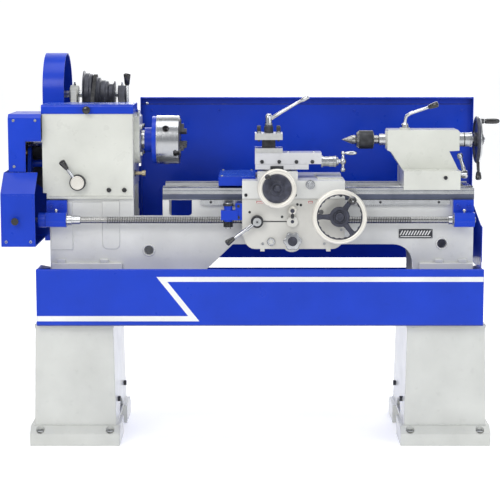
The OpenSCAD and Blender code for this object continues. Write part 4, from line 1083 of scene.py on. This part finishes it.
def half_nut_handle():
    s = Shape("half_nut_handle", "half_nut_lever", (10, -203, 728))
    hub = (10, 728)
    profile = [
        (APRON_SEAT, 0), (APRON_SEAT, 20), (-211, 20), (-214, 18), (-214, 15), (-212.6, 14.6),
        (-212.6, 0),
    ]
    s.lathe("Y", hub, profile, black_steel, 72)
    profile = [(-212.5, 0), (-212.5, 14), (-216, 13.4), (-216, 4.5), (-214.6, 4), (-214.6, 0)]
    s.lathe("Y", hub, profile, turned_y, 64)
    s.lathe("Y", hub, [(-214.5, 0), (-214.5, 3), (-216, 2.6), (-216, 0)], black_steel, 24)
    profile = [(APRON_SEAT, 0), (APRON_SEAT, 8.9), (-179, 8.9), (-179, 21.8), (-173, 21.8), (-173, 0)]
    s.lathe("Y", hub, profile, dull_chrome, 48)
    s.tube([(2, -207, 722), (-30, -212.5, 700), (-66, -220.5, 675)], [6.6, 5.6, 5.0], bright)
    path = [(-62, -219.5, 678), (-67, -220.6, 674.5), (-80, -223, 666), (-89, -226, 659)]
    s.tube(path, [6.0, 7.2, 9.6, 10.4], grip_black)
    s.finish(["half_nut_lever"])


def feed_handle():
    s = Shape("feed_handle", "feed_lever", (123, -200, 763))
    hub = (123, 763)
    profile = [(APRON_SEAT, 0), (APRON_SEAT, 13.8), (-204, 13.8), (-206, 12.4), (-208, 10), (-208, 0)]
    s.lathe("Y", hub, profile, cream, 56, round_by=0.8)
    s.disc("Y", hub, APRON_SEAT, -176, 5.9, dull_chrome, 32)
    s.lathe("Y", hub, [(-207.9, 0), (-207.9, 7), (-209.4, 6.6), (-209.4, 0)], slate_disc, 32)
    s.tube([(123, -203, 756), (123, -205, 744), (123, -206.5, 738)], [5.4, 4.6, 5.2], black_steel)
    s.finish(["feed_lever"])


def star_knob_piece():
    """Lobed chrome knob with a dark hexagon in the middle."""
    s = Shape("lobed_knob", "star_knob", (123, -210, 668))
    centre = (123, 668)
    rings = []
    for depth, shrink in ((-212, 3.0), (-214, 0.8), (-219, 0.0), (-227, 0.0), (-231, 1.6), (-232, 4.2)):
        ring = []
        for a in around(120):
            r = 28 - shrink + 2.6 * math.cos(6 * a)
            ring.append(point_on("Y", depth, *polar(centre, r, a)))
        rings.append(ring)
    s.skin(rings, dull_chrome)
    profile = [(APRON_SEAT, 0), (APRON_SEAT, 15), (-211, 15), (-212.2, 13), (-212.2, 0)]
    s.lathe("Y", centre, profile, dull_chrome, 48)
    s.disc("Y", centre, APRON_SEAT, -174, 7.9, dull_chrome, 32)
    s.lathe("Y", centre, [(-231.8, 0), (-231.8, 15.6), (-233.2, 15), (-233.2, 0)], slate_disc, 56)
    s.hexagon("Y", centre, -234.6, -233, 12.5, slate_disc, math.radians(12))
    s.finish(["star_knob"])


def apron_fittings():
    """Oil sight, plain labels, boss, holes drawn as black discs of painted shade, screws and seam bead of
    the apron, and the saddle bolt.
    """
    s = Shape("apron_fittings", "carriage")
    sight = (55, 662)
    profile = [(APRON_FACE, 6), (APRON_FACE, 13.5), (-194, 13.5), (-197.5, 11), (-197.5, 7.5), (-194, 7)]
    s.lathe("Y", sight, profile, bright, 56, closed=True)
    s.lathe("Y", sight, [(APRON_FACE, 0), (APRON_FACE, 8), (-195.4, 7.4), (-195.8, 0)], glass_oil, 40)
    boss = (123, 727)
    profile = [(APRON_FACE, 0), (APRON_FACE, 17.8), (-196.4, 17.4), (-198.6, 15.6), (-199, 0)]
    s.lathe("Y", boss, profile, cream, 56, round_by=1.0)
    s.tube([(30, -191.4, 727), (105, -191.4, 727)], [1.6, 1.6], black_steel, 12)
    s.lathe("Y", boss, [(-198.9, 0), (-198.9, 5.6), (-200, 5), (-200, 0)], slate_disc, 32)
    for x0, x1 in ((6, 40), (172, 190)):
        s.block((x0, x1), (-190.9, APRON_FACE), (785, 794), label_white, 0.4, "Y")
        s.block((x0 + 1.5, x1 - 1.5), (-191.2, -190.7), (791, 793), label_red, 0.1, "Y")
        s.block((x0 + 1.5, x1 - 1.5), (-191.2, -190.7), (786, 787.4), label_red, 0.1, "Y")
        for x in (x0 + 2.2, x1 - 2.2):
            s.block((x - 0.8, x + 0.8), (-191.2, -190.7), (786, 793), label_red, 0.1, "Y")
    # Holes drawn as flat black discs on the apron face: painted shade where the holes would be dark.
    for x, z in ((-14, 757), (139, 782), (90, 742), (150, 780)):
        s.lathe("Y", (x, z), [(-189, 0), (-189, 4.4), (-190.5, 4.2), (-190.5, 0)], plate_black, 28)
    for x, z in ((-26, 812), (22, 812), (132, 812), (278, 812)):
        s.cap_screw("Y", (x, z), APRON_FACE, -1, 5.2, 3.0)
    for x in (-20, 28, 226, 280):
        s.cap_screw("Y", (x, 655 if 0 < x < 240 else 700), APRON_FACE, -1, 4.2, 2.4, dull_chrome)
    s.block((-37, 290), (-191.4, APRON_FACE), (797.4, 799.4), apron_paint, 0.5, "X")
    bolt = (180, 846)
    s.lathe("Y", bolt, [(APRON_FACE, 0), (APRON_FACE, 15.5), (-193, 15), (-193, 0)], dull_chrome, 48)
    s.hexagon("Y", bolt, -204, -193, 13, bright, math.radians(8))
    s.lathe("Y", bolt, [(-204, 0), (-204, 8), (-205.4, 7), (-205.4, 0)], bright, 32)
    for x in (20, 34):
        s.lathe("Z", (x, -182), [(858, 0), (858, 4.6), (863, 4.2), (864.2, 0)], bright, 20)
    s.finish()


def saddle_wipers():
    """Wiper plates with their screws at the ends of the saddle, and the pad on its right wing."""
    s = Shape("saddle_wipers", "carriage")
    s.block((206, 286), (-126, -20), (858, 862), ivory, 1.2, "Z")
    for x0, x1 in ((-41.2, -38), (291, 294.2)):
        for y0, y1 in ((-112, -62), (62, 112)):
            s.block((x0, x1), (y0, y1), (834, 852), black_steel, 0.8, "X")
            for y in (y0 + 9, y1 - 9):
                s.cap_screw("X", (y, 845), x0 if x0 < 0 else x1, -1 if x0 < 0 else 1, 3.4, 2, dull_chrome)
    s.finish()


def way_guard_trim():
    s = Shape("way_guard_trim", "carriage")
    # The top of the way guard is a lighter, glossier blue than its sides: painted highlight where light
    # falls on the top.
    guard_highlight = paint("guard_top_painted_highlight", (0.04, 0.12, 0.64), rough=0.22)
    s.block((-113, 3), (-124, 124), (865, 866), guard_highlight, 0.6, "Z")
    for x, y in ((-104, -112), (-104, 112), (-8, 112)):
        s.cap_screw("Z", (x, y), 866, 1, 4.6, 2.8, dull_chrome)
    for x, z in ((-50, 776), (-50, 740)):
        s.cap_screw("Y", (x, z), -188, -1, 4.8, 3.4)
    s.finish()


def thread_dial_piece():
    """Dial face with its lines, the shaft, and the knurled worm wheel below."""
    s = Shape("thread_dial_wheel", "thread_dial", (-83, -178, 740))
    at = (-83, -178)
    s.disc("Z", at, 702, 777, 4.9, dull_chrome, 32)
    profile = [(776.4, 0), (776.4, 17), (781.5, 17), (784, 15), (784.2, 0)]
    s.lathe("Z", at, profile, black_steel, 64, round_by=0.8)
    s.lathe("Z", at, [(784, 0), (784, 13.4), (785.4, 12.8), (785.4, 0)], turned_z, 64)
    for k in range(8):
        a = math.pi * k / 4
        points = [(*polar(at, r, a), 785.4) for r in (6.5, 12.2)]
        s.tube(points, [0.45, 0.45], plate_black, 6)
    s.toothed("Z", at, 708, 725, 11.6, 15.4, 14, black_steel, 0.5)
    s.disc("Z", at, 702.4, 708, 9, dull_chrome, 32)
    s.finish(["thread_dial"])


def compound_marks():
    """Graduations round the swivel ring and the dark plate on its front."""
    s = Shape("compound_marks", "compound_base", (75, -50, 883))
    for k, a in enumerate(around(72)):
        high = 885.4 if k % 6 == 0 else 884.2
        x, y = polar((75, -50), 46.05, a)
        s.tube([(x, y, 881.6), (x, y, high)], [0.3, 0.3], plate_black, 6)
    s.block((53, 96), (-97.5, -94), (884.5, 897.5), black_steel, 1.2, "Y")
    s.finish()


def slide_fittings():
    """Gib screws with lock nuts, oilers and the dial of the top slide."""
    s = Shape("slide_fittings", "top_slide")
    for x in (26, 82, 138, 190):
        s.hexagon("Y", (x, 911), -95.4, -92, 6.6, black_steel)
        s.lathe("Y", (x, 911), [(-92, 0), (-92, 3), (-99.5, 3), (-100, 2.4), (-100, 0)], black_steel, 20)
    for x in (112, 196):
        s.lathe("Z", (x, -50), [(940, 0), (940, 4), (942.6, 3.4), (943, 0)], bright, 20)
    s.ring("X", SLIDE_LINE, 220, 226, 16.1, 19, ground_x, 64)
    s.ring("X", SLIDE_LINE, 246, 258, 16.1, 17.2, bright, 64)
    s.finish()


def ball_crank_piece():
    s = Shape("ball_handle", "ball_crank", (292, -50, 909))
    line = SLIDE_LINE
    s.disc("X", line, 20, 262, 4.9, dull_chrome, 32)
    profile = [(258.4, 5), (258.4, 18), (269, 18), (271, 15), (276, 13), (276, 5)]
    s.lathe("X", line, profile, turned_x, 64, closed=True)
    for k, a in enumerate(around(40)):
        y, z = polar(line, 18.05, a)
        end = 263.4 if k % 5 == 0 else 261.4
        s.tube([(259.2, y, z), (end, y, z)], [0.28, 0.28], plate_black, 6)

    def ball(centre, radius):
        angles = [math.pi * k / 16 for k in range(17)]
        profile = [(centre[2] - radius * math.cos(a), radius * math.sin(a)) for a in angles]
        profile[0], profile[-1] = (centre[2] - radius, 0), (centre[2] + radius, 0)
        s.lathe("Z", (centre[0], centre[1]), profile, bright, 40)

    ball((292, -50, 909), 11)
    ball((292, -50, 882), 8.5)
    ball((292, -50, 936), 7)
    s.tube([(274, -50, 909), (286, -50, 909)], [8, 7], bright)
    s.tube([(292, -50, 886), (292, -50, 909), (292, -50, 932)], [4.4, 6.2, 4.4], bright)
    handle = [
        (296, 0), (296, 3.4), (300, 3.4), (302, 4.6), (312, 6.8), (326, 7.0), (334, 5), (337, 2.4),
        (337, 0),
    ]
    s.lathe("X", (-50, 936), handle, bright, 40, round_by=2)
    s.finish(["ball_crank"])


def tool_post_fittings():
    """Square-head clamp screws over the four corners, with their tips in the tool slots."""
    s = Shape("tool_post_screws", "tool_post", (48, -50, 1003))
    for sx in (-1, 1):
        for sy in (-1, 1):
            x, y = 48 + sx * 32, -50 + sy * 32
            profile = [(1003, 0), (1003, 8.6), (1005, 8.2), (1005, 6), (1010, 6), (1010, 0)]
            s.lathe("Z", (x, y), profile, dull_chrome, 32)
            profile = [(976, 0), (976, 3.2), (978, 4.2), (983, 4.2), (983, 0)]
            s.lathe("Z", (x, y), profile, black_steel, 20)
            head = [(x - 6.4, y - 6.4), (x + 6.4, y - 6.4), (x + 6.4, y + 6.4), (x - 6.4, y + 6.4)]
            s.prism("Z", head, 1009.5, 1024.4, black_steel, 1.0)
    s.finish()


def clamp_lever_piece():
    s = Shape("post_clamp_lever", "clamp_lever", (48, -50, 1030))
    at = (48, -50)
    base = [(1003.4, 7.2), (1003.4, 15), (1022, 15), (1025, 13), (1028, 12), (1028, 7.2)]
    s.lathe("Z", at, base, dark_iron, 64, closed=True)
    hub = [
        (1016, 0), (1016, 7.1), (1027.5, 7.1), (1027.5, 11.9), (1056, 10.6), (1062, 8.6),
        (1065, 5), (1065, 0),
    ]
    s.lathe("Z", at, hub, bright, 64)
    s.lathe("Z", at, [(1029, 12.1), (1029, 13.2), (1034, 13), (1034, 11.9)], dull_chrome, 56, closed=True)
    path = [(54, -50, 1048), (92, -53, 1071.5), (130, -55.5, 1094), (157, -58, 1109)]
    s.tube(path, [6.6, 5.8, 5.2, 5.0], bright)
    path = [(152, -57.6, 1106), (158, -58.2, 1109.5), (171, -59.4, 1116.5), (179, -60, 1121)]
    s.tube(path, [5.6, 7.4, 8.2, 8.0], bright)
    s.finish(["clamp_lever"])


# ---------------------------------------------------------------- tailstock pieces


def tailstock_fittings():
    """Seam of the base, boss rings and clamp screws of the tailstock."""
    s = Shape("tailstock_fittings", "tailstock", (560, -60, 930))
    s.block((486, 668), (-119.6, -118), (876, 882), ivory, 0.8, "X")
    s.cap_screw("Y", (620, 862), -128, -1, 6.4, 5)
    s.cap_screw("Y", (508, 862), -118, -1, 6.4, 5)
    profile = [(437, 19.6), (437, 30), (433.5, 28), (433.5, 19.6)]
    s.lathe("X", SPINDLE_LINE, profile, ivory, 72, closed=True)
    s.ring("X", SPINDLE_LINE, 692, 695, 23.1, 23.9, grip_black, 64)
    s.ring("X", SPINDLE_LINE, 712, 719, 23.1, 24.5, dull_chrome, 64)
    profile = [(1012, 17.1), (1012, 19), (1014.6, 18.4), (1014.6, 17.1)]
    s.lathe("Z", (496, -20), profile, ivory, 48, closed=True)
    s.finish()


def tail_wheel_piece():
    """Dark hand wheel with a bright rim, a dished web, its crank grip and a black knob below."""
    s = Shape("tail_hand_wheel", "tailstock_wheel", (738, 0, SPINDLE_Z))
    line = SPINDLE_LINE
    rim = [(738 + 7.8 * math.sin(a), 70 + 7.8 * math.cos(a)) for a in around(24)]
    s.lathe("X", line, rim, slate_disc, 112, closed=True)
    profile = [(740, 69), (740, 77.6), (743, 76.6), (745.8, 73.4), (745.8, 69)]
    s.lathe("X", line, profile, bright, 112, closed=True)
    s.block((735, 756), (-28, -16), (1031, 1047), black_steel, 2.0, "X")
    profile = [(730.6, 63), (730.4, 70), (733, 76.6), (735.6, 77.6), (735.6, 63)]
    s.lathe("X", line, profile, slate_disc, 112, closed=True)
    web = [(735.5, 22), (734, 40), (735, 64), (742, 64), (743, 40), (744.5, 22)]
    s.lathe("X", line, web, slate_disc, 96, closed=True)
    hub = [
        (724.2, 10), (724.2, 22), (735, 23.4), (746, 23), (753, 21), (757, 17), (757, 8), (755, 7),
        (755, 0), (640, 0), (640, 10),
    ]
    s.lathe("X", line, hub, slate_disc, 64)
    s.ring("X", line, 560, 724.3, 4.2, 9.9, dull_chrome, 40)
    s.hexagon("X", line, 755, 762, 9, bright)
    profile = [(738, 0), (738, 8), (748, 8), (749, 6), (758, 6), (758, 0)]
    s.lathe("X", (-22, 1039), profile, dull_chrome, 32, round_by=0.7)
    grip = [(757.5, 0), (757.5, 7), (763, 8.8), (780, 9.5), (797, 8.9), (805, 6.4), (808, 0)]
    s.lathe("X", (-22, 1039), grip, grip_black, 40, round_by=2.5)
    s.tube([(738, -24, 907), (738, -30, 890), (738, -38, 873)], [5.6, 5.0, 5.0], black_steel)
    path = [(738, -37, 875), (738, -38.4, 871), (738, -43, 858), (738, -47, 847)]
    s.tube(path, [6.0, 8.0, 10.0, 10.0], grip_black)
    s.finish(["tailstock_wheel"])


def quill_lock_piece():
    s = Shape("quill_lock_handle", "quill_lock", (496, -20, 1020))
    at = (496, -20)
    profile = [
        (1000, 0), (1000, 6.9), (1018.4, 6.9), (1018.4, 12), (1028, 12), (1031, 9), (1034, 6.5),
        (1034, 0),
    ]
    s.lathe("Z", at, profile, bright, 48)
    path = [
        (496, -20, 1030), (497, -20.6, 1044), (501, -23, 1056),
        (514, -26, 1065), (540, -32, 1074), (573, -40.5, 1086),
    ]
    s.tube(path, [5.6, 5.2, 5.2, 5.1, 5.0, 4.8], bright)
    path = [(569, -39.5, 1084.5), (575, -41, 1086.8), (590, -45, 1092.4), (602, -48, 1097)]
    s.tube(path, [5.6, 7.4, 9.8, 9.8], grip_black)
    s.finish(["quill_lock"])


def bed_clamp_piece():
    s = Shape("bed_clamp_handle", "bed_clamp_lever", (690, -20, 864))
    profile = [(640, 0), (640, 8.9), (669.4, 8.9), (669.4, 13), (700, 13), (704, 10.5), (704, 0)]
    s.lathe("X", (-20, 864), profile, bright, 48)
    s.tube([(694, -20, 870), (689, -20, 892), (681, -20, 918)], [7, 6, 5.4], bright)
    path = [(682, -20, 914), (680.5, -20, 918), (678.4, -20, 927), (677, -20, 934.5)]
    s.tube(path, [6.4, 8.6, 9.4, 8.2], bright)
    s.finish(["bed_clamp_lever"])


def quill_marks():
    s = Shape("quill_marks", "quill", (413, 0, SPINDLE_Z))
    first = math.radians(96)
    for k in range(40):
        long = 8 if k % 5 == 0 else 4.5
        x = 416 + k * 2
        turns = (0.0, long / 38, long / 19)
        arc = [(x, *polar(SPINDLE_LINE, 19.03, first + t)) for t in turns]
        s.tube(arc, [0.16, 0.16, 0.16], plate_black, 6)
    s.finish()


# ---------------------------------------------------------------- the scene


def make_floor():
    mesh = bpy.data.meshes.new("floor")
    half_width, front, back, high, bend = 14, -14.0, 5.0, 9.0, 2.0
    profile = [(front, 0.0), (back - bend, 0.0)]
    angles = [math.pi / 2 * k / 12 for k in range(1, 13)]
    profile += [(back - bend + bend * math.sin(a), bend * (1 - math.cos(a))) for a in angles]
    profile.append((back, high))
    points = [(x, y, z) for y, z in profile for x in (-half_width, half_width)]
    faces = [(2 * i, 2 * i + 1, 2 * i + 3, 2 * i + 2) for i in range(len(profile) - 1)]
    mesh.from_pydata(points, [], faces)
    mesh.shade_smooth()
    floor = bpy.data.objects.new("floor", mesh)
    m = Finish("pale_floor")
    clouds = m.spread(m.noise(1.5, 4.0), 0.3, 0.7)
    m.set(Base_Color=m.mix(clouds, (0.90, 0.90, 0.90, 1), (0.93, 0.93, 0.93, 1)), Roughness=0.75)
    m.set(Emission_Color=(1, 1, 1, 1), Emission_Strength=0.32)
    mesh.materials.append(m.material)
    scene.collection.objects.link(floor)


make_camera()
make_studio()
make_floor()

dress_stand_and_bed()
dress_headstock()
dress_gear_end_and_drive()
dress_carriage()
dress_tailstock()

tray_stripe()
tray_trim()
guard_trim()
leg_relief()
bed_relief()
bed_fittings()
lead_screw_thread()
screw_bracket_fittings()
headstock_fittings()
lid_fittings()
gear_lever_piece()
gear_train_nuts()
cover_fittings()
window_trim()
chuck_details()
drive_details()
belt_guard_edges()
tension_lever_piece()
apron_wheel()
cross_wheel_piece()
half_nut_handle()
feed_handle()
star_knob_piece()
apron_fittings()
saddle_wipers()
way_guard_trim()
thread_dial_piece()
compound_marks()
slide_fittings()
ball_crank_piece()
tool_post_fittings()
clamp_lever_piece()
tailstock_fittings()
tail_wheel_piece()
quill_lock_piece()
bed_clamp_piece()
quill_marks()
